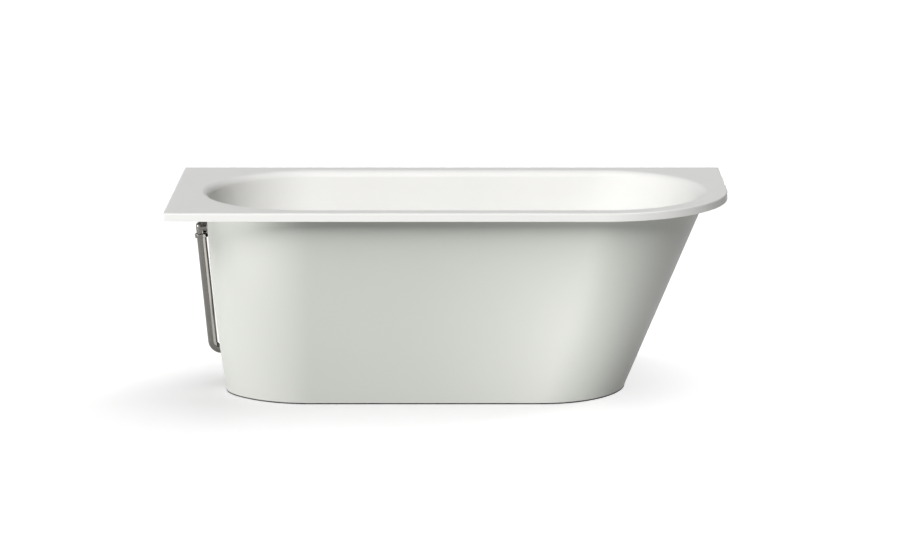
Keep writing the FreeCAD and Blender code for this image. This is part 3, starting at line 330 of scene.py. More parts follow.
def stadium(height, swell):
    """Mouth outline at a height: end centre plus radius times the direction, each wall leaning in."""
    drop = RIM_TOP - height
    left = MOUTH_LEFT - swell / np.cos(FOOT_LEAN) + drop * np.tan(FOOT_LEAN)
    right = MOUTH_RIGHT + swell / np.cos(BACK_LEAN) - drop * np.tan(BACK_LEAN)
    half = MOUTH_HALF + swell / np.cos(SIDE_LEAN) - drop * np.tan(SIDE_LEAN)
    centre = np.stack([left + half + along * (right - left - 2 * half), 0 * along], -1)
    return centre + half * out


def bowl(level, floor, swell, roll, fillet, arc_rows=14, wall_rows=30):
    """Rows from rim to floor: a roll of radius r, a wall with its lean, and a floor fillet of radius R.

    An arc point lies r times the sine of the swept angle out from its start and r times one
    minus the cosine below it. A wall point is on the line from mouth to floor outline.
    """
    top, depth = stadium(level, swell), level - floor
    fall = top - stadium(floor, swell)
    lean = (fall * out).sum(-1) / depth
    skew = (fall * aside).sum(-1) / depth
    tilt = np.arctan(lean)
    reach = np.tan((np.pi / 2 - tilt) / 2)
    high, low = roll * reach * np.cos(tilt), fillet * reach * np.cos(tilt)
    swept = steps(0, 1, arc_rows) * (np.pi / 2 - tilt)
    over = (roll * reach - roll * np.sin(swept), roll * (1 - np.cos(swept)), high + 0 * swept)
    drops = high + steps(0, 1, wall_rows)[1:-1] * (depth - low - high)
    wall = (-lean * drops, drops, drops)
    swept = tilt + steps(0, 1, arc_rows) * (np.pi / 2 - tilt)
    foot_out = -lean * depth - fillet * reach + fillet * np.cos(swept)
    foot = (foot_out, depth - fillet * (1 - np.sin(swept)), depth - low + 0 * swept)
    offset, drop, slid = (np.concatenate(rows) for rows in zip(over, wall, foot))
    flat = top + offset[..., None] * out - (skew * slid)[..., None] * aside
    return np.concatenate([flat, (level - drop)[..., None]], -1)


def to_drain(edge, rows=12):
    """Rows from a floor outline straight to the drain hole, at shares of the way.

    The shares are raised to a power below one, which crowds the rows near the hole.
    """
    away = edge[:, :2] - DRAIN
    hole = DRAIN + DRAIN_HOLE * away / np.linalg.norm(away, axis=-1, keepdims=True)
    share = steps(0, 1, rows)[1:, :, None] ** CROWDED
    flat = edge[:, :2] + share * (hole - edge[:, :2])
    return np.concatenate([flat, np.broadcast_to(edge[None, :, 2:], flat.shape[:2] + (1,))], -1)


inside = bowl(RIM_TOP, FLOOR_TOP, 0, ROLL, FLOOR_ROUND)
outside = bowl(RIM_TOP - SHEET, FLOOR_TOP - SHEET, SHEET, ROLL - SHEET, FLOOR_ROUND + SHEET)
inside = np.concatenate([inside, to_drain(inside[-1])])
outside = np.concatenate([outside, to_drain(outside[-1])])
print("bowl:", inside.shape[0], "rows on each side")

# %% [markdown]
# The rim's outline is a rectangle whose front right corner is turned on a large radius.
# A ray from the middle of the mouth to that outline gives each column its rim points, and
# the outline can be set in by any amount for the nose and the turned-down edge.

# %% Rim and shell
RIM_CORNERS = {(-1, -1): NOSE, (-1, 1): NOSE, (1, 1): NOSE, (1, -1): FRONT_CORNER}
NOSE_ROWS, EDGE_ROWS, LAND_ROWS = 7, 6, 6
STILL, SMALLEST_CORNER = 1e-9, 1e-5


def to_outline(start, way, inset, low=shell_low, high=shell_high):
    """Where rays meet the rim outline: the nearest side, or the corner circle where that comes first."""
    low, high = low[:2] + inset, high[:2] - inset
    with np.errstate(divide="ignore", invalid="ignore"):
        backward = np.where(way < -STILL, (low - start) / way, np.inf)
        far = np.where(way > STILL, (high - start) / way, backward).min(-1)
    for signs, radius in RIM_CORNERS.items():
        signs = np.array(signs)
        radius = max(radius - inset, SMALLEST_CORNER)
        centre = np.where(signs > 0, high, low) - signs * radius
        hit = start + far[..., None] * way
        within = ((hit - centre) * signs > 0).all(-1)
        from_centre = start - centre
        middle = -(from_centre * way).sum(-1)
        root = middle**2 - (from_centre**2).sum(-1) + radius**2
        far = np.where(within, middle + np.sqrt(np.maximum(root, 0)), far)
    return start + far[..., None] * way


def rim_row(inset, height):
    """One ring of the rim at an inset and a height."""
    middle = left_centre + along[:, None] * (right_centre - left_centre)
    ring = to_outline(middle, out, inset)
    return np.concatenate([ring, np.full((len(ring), 1), height)], -1)[None]


def between(first, last, rows):
    """Rows at equal shares of the way from one row to another, without those two."""
    return first + steps(0, 1, rows + 2)[1:-1, :, None] * (last - first)


swept = np.linspace(0, np.pi / 2, NOSE_ROWS)
nose = [rim_row(NOSE * (1 - np.sin(a)), RIM_TOP - NOSE * (1 - np.cos(a))) for a in swept]
edge = [rim_row(0, height) for height in np.linspace(RIM_TOP - NOSE, RIM_FOOT, EDGE_ROWS)[1:]]
under = [rim_row(SHEET, RIM_FOOT), rim_row(SHEET, RIM_TOP - SHEET)]
land = between(inside[:1], nose[0], LAND_ROWS)
shelf = between(under[-1], outside[:1], LAND_ROWS)
loop = np.concatenate([inside[::-1], land, *nose, *edge, *under, shelf, outside])
shell_mesh = mesh_of("bath shell", grid(loop, wrap_rows=True, wrap_columns=True))
print("shell loop:", loop.shape)

# %% [markdown]
# The overflow passes through the foot wall, so the sheet is cut there with a plain
# cylinder on the knob's axis. The cut edge hides under the face plate.

# %% Overflow hole
NEARLY_ALONG = 0.9


def full_turn(columns):
    """Evenly spaced angles, once round."""
    return np.linspace(0, 2 * np.pi, columns, endpoint=False)


def circle_about(axis, angle):
    """An axis of length one, and the points at some angles of a circle of radius one square to it.

    The circle starts square to y, or to z where the axis nearly lies along y.
    """
    axis = np.array(axis, float) / np.linalg.norm(axis)
    first = np.cross(axis, [0, 1, 0] if abs(axis[1]) < NEARLY_ALONG else [0, 0, 1])
    first /= np.linalg.norm(first)
    second = np.cross(axis, first)
    return axis, np.cos(angle)[:, None] * first + np.sin(angle)[:, None] * second


def lathe(origin, axis, profile, columns=96):
    """A turned surface: at each profile step (along, radius), a circle of that radius round the axis."""
    axis, circle = circle_about(axis, full_turn(columns))
    run, radius = np.array(profile, float).T
    points = np.array(origin) + run[:, None, None] * axis + radius[:, None, None] * circle
    return grid(points, wrap_columns=True)


def combined(mesh, other, operation):
    """The first mesh with another one cut away from it or joined to it."""
    first, second = (bpy.data.objects.new(m.name, m) for m in (mesh, other))
    for made in (first, second):
        bpy.context.scene.collection.objects.link(made)
    change = first.modifiers.new("change", "BOOLEAN")
    change.operation, change.object, change.solver = operation, second, "EXACT"
    bpy.context.view_layer.update()
    result = bpy.data.meshes.new_from_object(first.evaluated_get(bpy.context.evaluated_depsgraph_get()))
    for made in (first, second):
        bpy.data.objects.remove(made)
    return result


knob_at, knob_axis = joints["knob_turn"]["pos_m"], np.array(joints["knob_turn"]["axis"])
OVERFLOW_HOLE, THROUGH = 0.026, 0.04
hole = [(-THROUGH, 0), (-THROUGH, OVERFLOW_HOLE), (THROUGH, OVERFLOW_HOLE), (THROUGH, 0)]
bore = mesh_of("bore", lathe(knob_at, knob_axis, hole))
shell_mesh = combined(shell_mesh, bore, "DIFFERENCE")
shell = piece("shell_enamel", shell_mesh, "enamel_white", "bath", "bath_shell")

# %% [markdown]
# ## The skirt
# The real skirt is a thin steel sheet, enamelled pale green. It starts at a narrow left end,
# behind which the overflow pipe stays open to view, runs along a flat front and round a wide
# right corner towards the wall, and draws in towards the floor. It could be lofted between
# two outlines. Here the outline is a chain of arcs and lines whose sizes change evenly from
# base to top, so one function of height gives the whole sheet. The left end also swells a
# little half way up. A flange at the top carries it under the rim.

# %% Skirt outline
skirt_low, skirt_high = (np.array(corner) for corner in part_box("skirt_panel"))
SKIRT_SHEET = 0.002
SWELL = 0.0086
NOSE_END = -0.110
FLANGE_INSET = 0.0045
AT_TOP = {"left": 0.108, "right": 0.069, "front": 0.037, "bend": 0.428, "nose": 0.170, "turn": 0.340}
AT_BASE = {"left": 0.160, "right": 0.313, "front": 0.065, "bend": 0.425, "nose": 0.150, "turn": 0.262}
NOSE_POINTS, BEND_POINTS, FRONT_POINTS, TURN_POINTS, WALL_POINTS = 40, 40, 50, 90, 20
SKIRT_ROWS = 60


def arc(centre_x, centre_y, radius, start, end, share):
    """Points of an arc, and the way out of it: centre plus radius times the cosine and sine."""
    angle = start + share * (end - start)
    way = np.stack([np.cos(angle), np.sin(angle)], -1)
    centre = np.stack([centre_x + 0 * angle, centre_y + 0 * angle], -1)
    return centre + radius[..., None] * way, way


def line(start_x, start_y, end_x, end_y, way, share):
    """Points at shares of the way along a line, with one way out."""
    points = np.stack([start_x + share * (end_x - start_x), start_y + share * (end_y - start_y)], -1)
    return points, np.broadcast_to(np.array(way, float), points.shape)


def skirt_outline(share):
    """Skirt outline at shares of its height: nose arc, bend arc, front line, corner arc, side line.

    The bend arc is the one that touches both the nose arc and the front line. The swell at
    the left end is a parabola of the height, highest half way up.
    """
    size = {name: AT_BASE[name] + share * (AT_TOP[name] - AT_BASE[name]) for name in AT_TOP}
    left = shell_low[0] + size["left"] - SWELL * 4 * share * (1 - share)
    right, front = shell_high[0] - size["right"], shell_low[1] + size["front"]
    bend, nose, wide_turn = shell_low[0] + size["bend"], size["nose"], size["turn"]
    run, rise = bend - left - nose, NOSE_END - front
    bow = (run**2 + rise**2 - nose**2) / (2 * (rise - nose))
    meet = np.arctan2(rise - bow, -run) + 2 * np.pi
    counts = NOSE_POINTS, BEND_POINTS, FRONT_POINTS, TURN_POINTS
    on_nose, on_bend, on_front, on_turn = (np.linspace(0, 1, n, endpoint=False) + 0 * share for n in counts)
    on_side = np.linspace(0, 1, WALL_POINTS) + 0 * share
    runs = [
        arc(left + nose, NOSE_END, nose, np.pi, meet, on_nose),
        arc(bend, front + bow, bow, meet, 1.5 * np.pi, on_bend),
        line(bend, front, right - wide_turn, front, (0, -1), on_front),
        arc(right - wide_turn, front + wide_turn, wide_turn, -np.pi / 2, 0.0, on_turn),
        line(right, front + wide_turn, right, skirt_high[1], (1, 0), on_side),
    ]
    return (np.concatenate(pair, 1) for pair in zip(*runs))


rise = steps(0, 1, SKIRT_ROWS)
face, way = skirt_outline(rise)
print("skirt:", face.shape[0], "rows of", face.shape[1], "points")

# %% [markdown]
# The sheet gets its thickness from a second face, set in against the way out of each point.
# The flange turns outwards from the top row until it nearly meets the rim's edge. A solidify
# modifier could add the thickness, but with both faces written down the sheet fits the packed
# box exactly.

# %% Skirt
def raised(flat, height):
    """Plan points with their heights."""
    return np.concatenate([flat, height + np.zeros(flat.shape[:2] + (1,))], -1)


def thick_sheet(name, outer, inner):
    """A closed sheet from its two faces: both grids and a strip along each of the four borders."""
    borders = [(outer[i], inner[i]) for i in (0, -1)] + [(outer[:, i], inner[:, i]) for i in (0, -1)]
    return mesh_of(name, grid(outer), grid(inner), *(grid(np.stack(pair)) for pair in borders))


shelf_low = np.array([skirt_low[0] - FLANGE_INSET, shell_low[1]])
skirt_flange = to_outline(face[-1:], way[-1:], FLANGE_INSET, low=shelf_low)
height, inner_height = skirt_high[2] - skirt_low[2] - SKIRT_SHEET, skirt_high[2] - skirt_low[2]
outer = raised(face, (skirt_low[2] + rise * height)[..., None])
inner = raised(face - SKIRT_SHEET * way, (skirt_low[2] + rise * inner_height)[..., None])
outer = np.concatenate([outer, raised(skirt_flange, skirt_high[2] - SKIRT_SHEET)])
inner = np.concatenate([inner, raised(skirt_flange, skirt_high[2])])
skirt_mesh = thick_sheet("skirt", outer, inner)
skirt = piece("skirt_enamel", skirt_mesh, "enamel_green", "bath", "skirt_panel")

# %% [markdown]
# ## Turned and bent pieces
# Fittings are mostly turned or moulded round an axis, and pipes are bent on a former. A
# turned piece needs a profile, softened at its corners as casting and plating leave them.
# A pipe needs a path, straight lines joined by arcs.

# %% Profiles and paths
EASE_MOST = 0.45


def eased(profile, radius, count=5):
    """A closed profile with each corner replaced by a curve that starts and ends a radius away from it.

    Where a side is short, the radius is at most a share of that side.
    """
    corner = np.array(profile, float)[:, None]
    back, ahead = np.roll(corner, 1, 0) - corner, np.roll(corner, -1, 0) - corner
    back_long, ahead_long = (np.linalg.norm(side, axis=-1, keepdims=True) for side in (back, ahead))
    soft = np.minimum(radius, EASE_MOST * np.minimum(back_long, ahead_long))
    share = np.linspace(0, 1, count)[None, :, None]
    first, last = corner + soft * back / back_long, corner + soft * ahead / ahead_long
    return ((1 - share) ** 2 * first + 2 * share * (1 - share) * corner + share**2 * last).reshape(-1, 2)


def turned(origin, axis, profile, columns=96, flutes=0, depth=0.0, band=(0, 0)):
    """A turned ring from a closed profile of (along, radius), with flutes cut where it lies in a band.

    A flute takes depth times the square of the cosine of half its count times the angle.
    """
    angle = full_turn(columns)
    axis, circle = circle_about(axis, angle)
    run, radius = np.array(profile, float).T
    radius = radius[:, None]
    cut = depth * np.cos(flutes * angle / 2) ** 2 * (radius >= band[0]) * (radius <= band[1])
    points = np.array(origin) + run[:, None, None] * axis + (radius - cut)[..., None] * circle
    return grid(points, wrap_rows=True, wrap_columns=True)


def bent(corners, radius, count=16):
    """A path of straight lines with an arc at each inner corner.

    A point of the arc is its centre less inward times the cosine, plus onward times the sine.
    """
    corners = np.array(corners, float)
    way = np.diff(corners, axis=0)
    way /= np.linalg.norm(way, axis=1, keepdims=True)
    turns = []
    for corner, onward, after in zip(corners[1:-1], way[:-1], way[1:]):
        angle = np.arccos(np.clip(onward @ after, -1, 1))
        inward = after - (after @ onward) * onward
        inward /= np.linalg.norm(inward)
        middle = corner - radius * np.tan(angle / 2) * onward + radius * inward
        swept = steps(0, angle, count)
        turns.append(middle - radius * np.cos(swept) * inward + radius * np.sin(swept) * onward)
    return np.concatenate([corners[:1], *turns, corners[-1:]])


def pipe(path, across, radius, wall, columns=64):
    """A hollow pipe on a flat path: circles of the outer radius down it and of the inner radius back."""
    ahead = np.gradient(path, axis=0)
    ahead /= np.linalg.norm(ahead, axis=1, keepdims=True)
    across = np.array(across, float)
    upward = np.cross(across, ahead)
    angle = full_turn(columns)[None, :, None]
    circle = np.cos(angle) * across + np.sin(angle) * upward[:, None]
    skins = [path[:, None] + r * circle for r in (radius, radius - wall)]
    return grid(np.concatenate([skins[0], skins[1][::-1]]), wrap_rows=True, wrap_columns=True)

# %% [markdown]
# ## Overflow
# On the real bath a chromed pipe drops from the overflow elbow outside the bowl, turns once
# and runs to the drain. A rounded collar holds it in the elbow. The pipe could be a curve
# with a bevel, but as a mesh it has an inner skin too, like a real one. Places come from the
# knob's axis, because the elbow shares it.

# %% Pipe and collar
PIPE, PIPE_BORE, PIPE_TURN = 0.015, 0.0115, 0.027
ELBOW_OUT, ELBOW_LEG = 0.0375, 0.018
COLLAR, COLLAR_LONG, COLLAR_ROUND, FIT = 0.0205, 0.013, 0.005, 0.0003
CURVE_POINTS = 9
down = np.array([knob_axis[2], 0, -knob_axis[0]])
elbow = np.array(knob_at) - ELBOW_OUT * knob_axis
nut_low, nut_high = (np.array(corner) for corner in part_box("overflow_pipe_nut"))
NUT, NUT_LONG = (nut_high[2] - nut_low[2]) / 2, nut_high[0] - nut_low[0]
run_level = (nut_low[2] + nut_high[2]) / 2
lowest = elbow + down * (run_level - elbow[2]) / down[2]
in_collar = elbow + (ELBOW_LEG + COLLAR_LONG / 2) * down
pipe_path = bent([in_collar, lowest, (nut_low[0] + NUT_LONG / 2, 0, run_level)], PIPE_TURN)
pipe_mesh = mesh_of("overflow pipe", pipe(pipe_path, (0, 1, 0), PIPE, PIPE - PIPE_BORE))
overflow = [piece("chrome_pipe", pipe_mesh, "chrome", "bath", "overflow_pipe")]

BORE = PIPE + FIT
collar = [(0, BORE), (0, COLLAR), (COLLAR_LONG, COLLAR), (COLLAR_LONG, BORE)]
collar = eased(collar, COLLAR_ROUND, CURVE_POINTS)
collar_mesh = mesh_of("overflow collar", turned(elbow + ELBOW_LEG * down, down, collar))
overflow.append(piece("rounded_collar", collar_mesh, "chrome", "bath", "overflow_collar"))

# %% [markdown]
# The elbow is a casting: a flange against the wall, a short stub out of it, and a leg with a
# rounded top. A bent pipe would be simpler, but it cuts the corner that the photo shows. So
# two turned solids are joined, and what runs inside gets its way by cutting: a recess for the
# face plate's neck, a bore along the knob's axis and one down the leg.

# %% Elbow
STUB, LEG, LEG_TOP, LEG_ROUND = 0.016, 0.0145, 0.0175, 0.012
FLANGE, FLANGE_START, FLANGE_END, FLANGE_EASE = 0.032, 0.006, 0.016, 0.002
RECESS, RECESS_END = 0.0223, 0.012
PAST = 0.003
quarter = np.linspace(0, np.pi / 2, CURVE_POINTS)
sine, cosine = np.sin(quarter), np.cos(quarter)
rim_curve = np.stack([FLANGE_END - FLANGE_EASE * (1 - sine), FLANGE - FLANGE_EASE * (1 - cosine)], -1)
top_curve = np.stack([LEG_ROUND * (1 - cosine) - LEG_TOP, LEG - LEG_ROUND * (1 - sine)], -1)
flange_and_stub = [
    (FLANGE_START, 0), (FLANGE_START, FLANGE), *rim_curve, (FLANGE_END, STUB),
    (ELBOW_OUT, STUB), (ELBOW_OUT, 0),
]
leg = [(-LEG_TOP, 0), *top_curve, (ELBOW_LEG, LEG), (ELBOW_LEG, 0)]
way_in = [
    (0, 0), (0, RECESS), (RECESS_END, RECESS), (RECESS_END, PIPE_BORE),
    (ELBOW_OUT, PIPE_BORE), (ELBOW_OUT, 0),
]
way_down = [(0, 0), (0, PIPE_BORE), (ELBOW_LEG + PAST, PIPE_BORE), (ELBOW_LEG + PAST, 0)]
elbow_mesh = mesh_of("overflow elbow", lathe(knob_at, -knob_axis, flange_and_stub))
elbow_mesh = combined(elbow_mesh, mesh_of("leg", lathe(elbow, down, leg)), "UNION")
elbow_mesh = combined(elbow_mesh, mesh_of("way in", lathe(knob_at, -knob_axis, way_in)), "DIFFERENCE")
elbow_mesh = combined(elbow_mesh, mesh_of("way down", lathe(elbow, down, way_down)), "DIFFERENCE")
overflow.append(piece("rounded_elbow", elbow_mesh, "chrome", "bath", "overflow_elbow"))

# %% [markdown]
# The nut at the pipe's lower end is moulded plastic, with flutes for the hand that turns it.
# They could be cut one by one, but a wave in the radius makes all of them at once.

# %% Pipe nut
NUT_EASE, NUT_COLUMNS = 0.0015, 240
NUT_FLUTES, NUT_FLUTE_DEPTH, NUT_FLUTED_FROM = 20, 0.0012, 0.020
nut_at = (nut_low[0], 0, run_level)
nut_profile = eased([(0, BORE), (0, NUT), (NUT_LONG, NUT), (NUT_LONG, BORE)], NUT_EASE)
pipe_nut = turned(
    nut_at, (1, 0, 0), nut_profile, NUT_COLUMNS, NUT_FLUTES, NUT_FLUTE_DEPTH, (NUT_FLUTED_FROM, NUT)
)
piece("ribbed_pipe_nut", mesh_of("pipe nut", pipe_nut), "white_plastic", "bath", "overflow_pipe_nut")

# %% [markdown]
# ## Drain
# The plug is a plated casting, a shallow dome over a rolled edge, with a rubber ring under
# it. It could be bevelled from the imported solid, but the ring's groove is finer than a bevel
# keeps. It is turned from its profile instead, on the axis of its slide.

# %% Plug
plug_low, plug_high = (np.array(corner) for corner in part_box("drain_plug"))
ring_low, ring_high = (np.array(corner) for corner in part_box("plug_ring"))
plug_at = np.append((plug_low + plug_high)[:2] / 2, 0)
PLUG, PLUG_FOOT = plug_high[0] - plug_at[0], 0.019
PLUG_CORE = ring_high[0] - plug_at[0] - (ring_high[2] - ring_low[2])
PLUG_EDGE, PLUG_EASE = 0.001, 0.0006
DOME_POWER, DOME_ROWS = 2.4, 12
UP = (0, 0, 1)
edge_top = ring_high[2] + 2 * PLUG_EDGE
dome = np.linspace(0, 1, DOME_ROWS)[1:-1]
dome = np.stack([plug_high[2] - (plug_high[2] - edge_top) * dome**DOME_POWER, PLUG * dome], -1)
plug_side = eased([
    (plug_low[2], PLUG_FOOT), (ring_low[2], PLUG_CORE), (ring_high[2], PLUG_CORE),
    (edge_top - PLUG_EDGE, PLUG), (edge_top, PLUG),
], PLUG_EASE)[2:-2]
plug_profile = np.concatenate([[(plug_low[2], 0)], plug_side, dome[::-1], [(plug_high[2], 0)]])
plug_mesh = mesh_of("plug", lathe(plug_at, UP, plug_profile))
piece("plug_dome", plug_mesh, "chrome", "plug", "drain_plug")

# %% [markdown]
# ## Legs
# Each leg is a threaded steel stud with a black foot pushed on its end. A weld nut on the
# foot bar takes the thread, and a lock nut below it keeps the height. A thread is one
# surface: its radius is a triangle wave of the height, shifted by the angle, so that each
# turn climbs one pitch. The nuts are hexagons with the corners turned off.

# %% Threads and hexagons
PITCH, THREAD = 0.0015, 0.0007
HEXAGON_ROWS = (0, 0, 0.06, 0.12, 0.2, 0.8, 0.88, 0.94, 1, 1)


def upright(at, radius, angle, height):
    """Points round an upright axis: radius times the cosine and the sine, at their heights."""
    x, y = at[0] + radius * np.cos(angle), at[1] + radius * np.sin(angle)
    return np.stack([x, y, height + 0 * angle], -1)


def threaded(low, high, at, radius, columns=36, rows_each_turn=6):
    """A stud whose radius falls by the thread depth times a triangle wave of height less angle."""
    rows = int((high - low) / PITCH * rows_each_turn) + 1
    height, angle = steps(low, high, rows), full_turn(columns)[None]
    wave = np.abs((height / PITCH - angle / (2 * np.pi)) % 1 - 0.5) * 2
    tip = np.clip(np.minimum(high - height, height - low) / PITCH, 0, 1)
    skin = upright(at, radius - THREAD * np.maximum(wave, 1 - tip), angle, height)
    centre = np.array([*at, 0])
    ends = [np.broadcast_to(centre + [0, 0, end], (1, columns, 3)) for end in (low, high)]
    return grid(np.concatenate([ends[0], skin, ends[1]]), wrap_columns=True)


def hexagon(low, high, at, radius, bore, columns=144):
    """A hexagon nut: six flats as apothem over cosine, cut back by a cone at the top and bottom.

    Its rows lie at shares of its height, the first and the last of them on the bore.
    """
    angle = full_turn(columns)[None]
    flats = radius * np.cos(np.pi / 6) / np.cos((angle + np.pi / 6) % (np.pi / 3) - np.pi / 6)
    height = low + np.array(HEXAGON_ROWS)[:, None] * (high - low)
    cone = radius * np.cos(np.pi / 6) + np.minimum(height - low, high - height) / np.tan(np.pi / 6)
    wide = np.minimum(flats, cone)
    wide[0], wide[-1] = bore, bore
    return grid(upright(at, wide, angle, height), wrap_rows=True, wrap_columns=True)

# %% [markdown]
# A foot is a moulded disc with a cone up to its neck and fine flutes round its edge, turned
# like the pipe's nut. All four legs are alike, so one loop makes them, each on a body of its
# own, because each can be set to another height.

# %% Studs, feet and nuts
STUD, NUT_CORNER = 0.005, 0.0098
FOOT_NECK, FOOT_RIM, FOOT_EASE, FOOT_COLUMNS = 0.011, 0.005, 0.0012, 240
FOOT_FLUTES, FOOT_FLUTE_DEPTH, FOOT_FLUTED_FROM = 30, 0.0008, 0.024
weld_low, weld_high = (np.array(corner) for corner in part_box("leg_weld_nuts"))
lock_low, lock_high = (np.array(corner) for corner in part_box("leg_lock_nuts"))
leg_places = []
for corner in ("front_left", "back_left", "front_right", "back_right"):
    stud_low, stud_high = (np.array(end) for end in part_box("leg_stud_" + corner))
    _, foot_high = (np.array(end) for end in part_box("leg_foot_" + corner))
    at = (stud_low + stud_high)[:2] / 2
    leg_places.append(at)
    stud = mesh_of("stud", threaded(stud_low[2], stud_high[2], at, STUD))
    piece("thread_" + corner, stud, "zinc_steel", "leg_" + corner, "leg_stud_" + corner)
    wide = foot_high[0] - at[0]
    foot_profile = eased([
        (stud_low[2], STUD), (stud_low[2], 0.0), (0.0, 0.0), (0.0, wide), (FOOT_RIM, wide),
        (foot_high[2], FOOT_NECK), (foot_high[2], STUD),
    ], FOOT_EASE)
    foot = mesh_of("foot", turned(
        [*at, 0], UP, foot_profile, FOOT_COLUMNS, FOOT_FLUTES, FOOT_FLUTE_DEPTH, (FOOT_FLUTED_FROM, wide)
    ))
    piece("foot_pad_" + corner, foot, "dark_plastic", "leg_" + corner, "leg_foot_" + corner)
nut_sets = (
    ("weld_hexagons", "leg_weld_nuts", weld_low, weld_high),
    ("lock_hexagons", "leg_lock_nuts", lock_low, lock_high),
)
for name, node, low, high in nut_sets:
    nuts = [hexagon(low[2], high[2], at, NUT_CORNER, STUD) for at in leg_places]
    piece(name, mesh_of(name, *nuts), "zinc_steel", "bath", node)

# %% [markdown]
# ## Trap and outlet
# The trap is a moulded plastic pipe that goes down, along and up again, so that water stays
# in its bend. A collar at its top is what the nut holds. The pipe could be swept along a
# curve, but the function for the overflow pipe already makes it.

# %% Trap
trap_low, trap_high = (np.array(corner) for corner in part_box("trap_bend"))
outlet_low, outlet_high = (np.array(corner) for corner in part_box("waste_outlet_pipe"))
TRAP, TRAP_WALL, TRAP_TURN, TRAP_SPAN = 0.020, 0.002, 0.030, 0.068
TRAP_COLLAR, SPOUT, SPOUT_EASE = 0.004, 0.023, 0.0006
TRAP_TOP = 0.064
outlet_level = (outlet_low[2] + outlet_high[2]) / 2
bottom = trap_low[2] + TRAP
bend_at = [(DRAIN[0], y, z) for y, z in (
    (0, TRAP_TOP), (0, bottom), (TRAP_SPAN, bottom), (TRAP_SPAN, outlet_level), (trap_high[1], outlet_level)
)]
trap_pipe = pipe(bent(bend_at, TRAP_TURN), (1, 0, 0), TRAP, TRAP_WALL)
in_wall = TRAP - TRAP_WALL / 2
spout = eased([(-TRAP_COLLAR, in_wall), (-TRAP_COLLAR, SPOUT), (0, SPOUT), (0, in_wall)], SPOUT_EASE)
trap_ring = turned((DRAIN[0], 0, TRAP_TOP), UP, spout)
trap_mesh = mesh_of("trap", trap_pipe, trap_ring)
piece("trap_tube", trap_mesh, "white_plastic", "bath", "trap_bend")

# %% [markdown]
# The trap's nut screws onto the drain body and lifts the trap's collar against it with a lip.
# Its flutes give a wet hand some grip.

# %% Trap nut
trap_nut_low, trap_nut_high = (np.array(corner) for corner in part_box("trap_nut"))
TRAP_NUT, LIP, TRAP_NUT_EASE = trap_nut_high[0] - DRAIN[0], 0.005, 0.0012
TRAP_FLUTES, TRAP_FLUTE_DEPTH, TRAP_FLUTED_FROM, TRAP_NUT_COLUMNS = 24, 0.0014, 0.026, 288
tall = trap_nut_high[2] - trap_nut_low[2]
trap_nut_profile = eased([
    (0, TRAP + FIT), (0, TRAP_NUT), (tall, TRAP_NUT),
    (tall, SPOUT + FIT), (LIP, SPOUT + FIT), (LIP, TRAP + FIT),
], TRAP_NUT_EASE)
trap_nut = turned(
    (DRAIN[0], 0, trap_nut_low[2]), UP, trap_nut_profile,
    TRAP_NUT_COLUMNS, TRAP_FLUTES, TRAP_FLUTE_DEPTH, (TRAP_FLUTED_FROM, TRAP_NUT),
)
piece("ribbed_trap_nut", mesh_of("trap nut", trap_nut), "white_plastic", "bath", "trap_nut")

# %% [markdown]
# The outlet pipe starts with a wider socket over the trap's end and runs straight towards
# the wall, so one turned profile, closed along the bore, makes all of it.

# %% Outlet pipe
SOCKET, SOCKET_LONG, OUTLET_EASE = (outlet_high[2] - outlet_low[2]) / 2, 0.034, 0.001
outlet_long = outlet_high[1] - outlet_low[1]
outlet_profile = eased([
    (0, TRAP + FIT), (0, SOCKET), (SOCKET_LONG, SOCKET), (SOCKET_LONG + SOCKET - TRAP, TRAP),
    (outlet_long, TRAP), (outlet_long, TRAP - TRAP_WALL), (SOCKET_LONG, TRAP - TRAP_WALL),
    (SOCKET_LONG, TRAP + FIT),
], OUTLET_EASE)
outlet = turned((DRAIN[0], outlet_low[1], outlet_level), (0, 1, 0), outlet_profile)
piece("outlet_tube", mesh_of("outlet pipe", outlet), "white_plastic", "bath", "waste_outlet_pipe")

# %% [markdown]
# ## Studio
# The stand-in for the photographer's room is a pale floor, soft lamps and a white
# surround. Light Path sends the full white only to what the camera sees, directly or in a
# reflection, so it is the lamps that set how bright each finish looks. The floor glows where
# the camera sees it and gets the rest of its light from two lamps, so that a soft shadow is
# left round the base.

# %% Floor and surround
FLOOR_HALF = 30.0
FLOOR_PALE, FLOOR_SEEN, FLOOR_GLOW = 0.40, 0.66, 0.61
ROOM_LIGHT = 0.03
floor_corners = np.array([[(-1, -1, 0), (1, -1, 0)], [(-1, 1, 0), (1, 1, 0)]], float) * FLOOR_HALF
floor = bpy.data.objects.new("floor", mesh_of("floor", grid(floor_corners)))
bpy.context.scene.collection.objects.link(floor)


def seen_in(tree):
    """One where a ray comes from the camera, straight or by a reflection or through glass, else zero."""
    path = add(tree, "LightPath").outputs
    plain = add(tree, "Math", {0: path["Is Camera Ray"], 1: path["Is Glossy Ray"]}, operation="MAXIMUM")
    through = path["Is Transmission Ray"]
    return add(tree, "Math", {0: plain.outputs[0], 1: through}, operation="MAXIMUM").outputs[0]


paper = bpy.data.materials.new("floor paper")
paper.use_nodes = True
tree = paper.node_tree
tree.nodes.remove(tree.nodes["Principled BSDF"])
seen = seen_in(tree)
pale = add(tree, "MapRange", {"Value": seen, "To Min": FLOOR_PALE, "To Max": FLOOR_SEEN})
matt = add(tree, "BsdfDiffuse", {"Color": pale.outputs["Result"]})
shine = add(tree, "MapRange", {"Value": seen, "To Min": 0.0, "To Max": FLOOR_GLOW})
glow = add(tree, "Emission", {"Strength": shine.outputs["Result"]})
both = add(tree, "AddShader", {0: matt.outputs[0], 1: glow.outputs[0]})
tree.links.new(both.outputs[0], tree.nodes["Material Output"].inputs["Surface"])
floor.data.materials.append(paper)

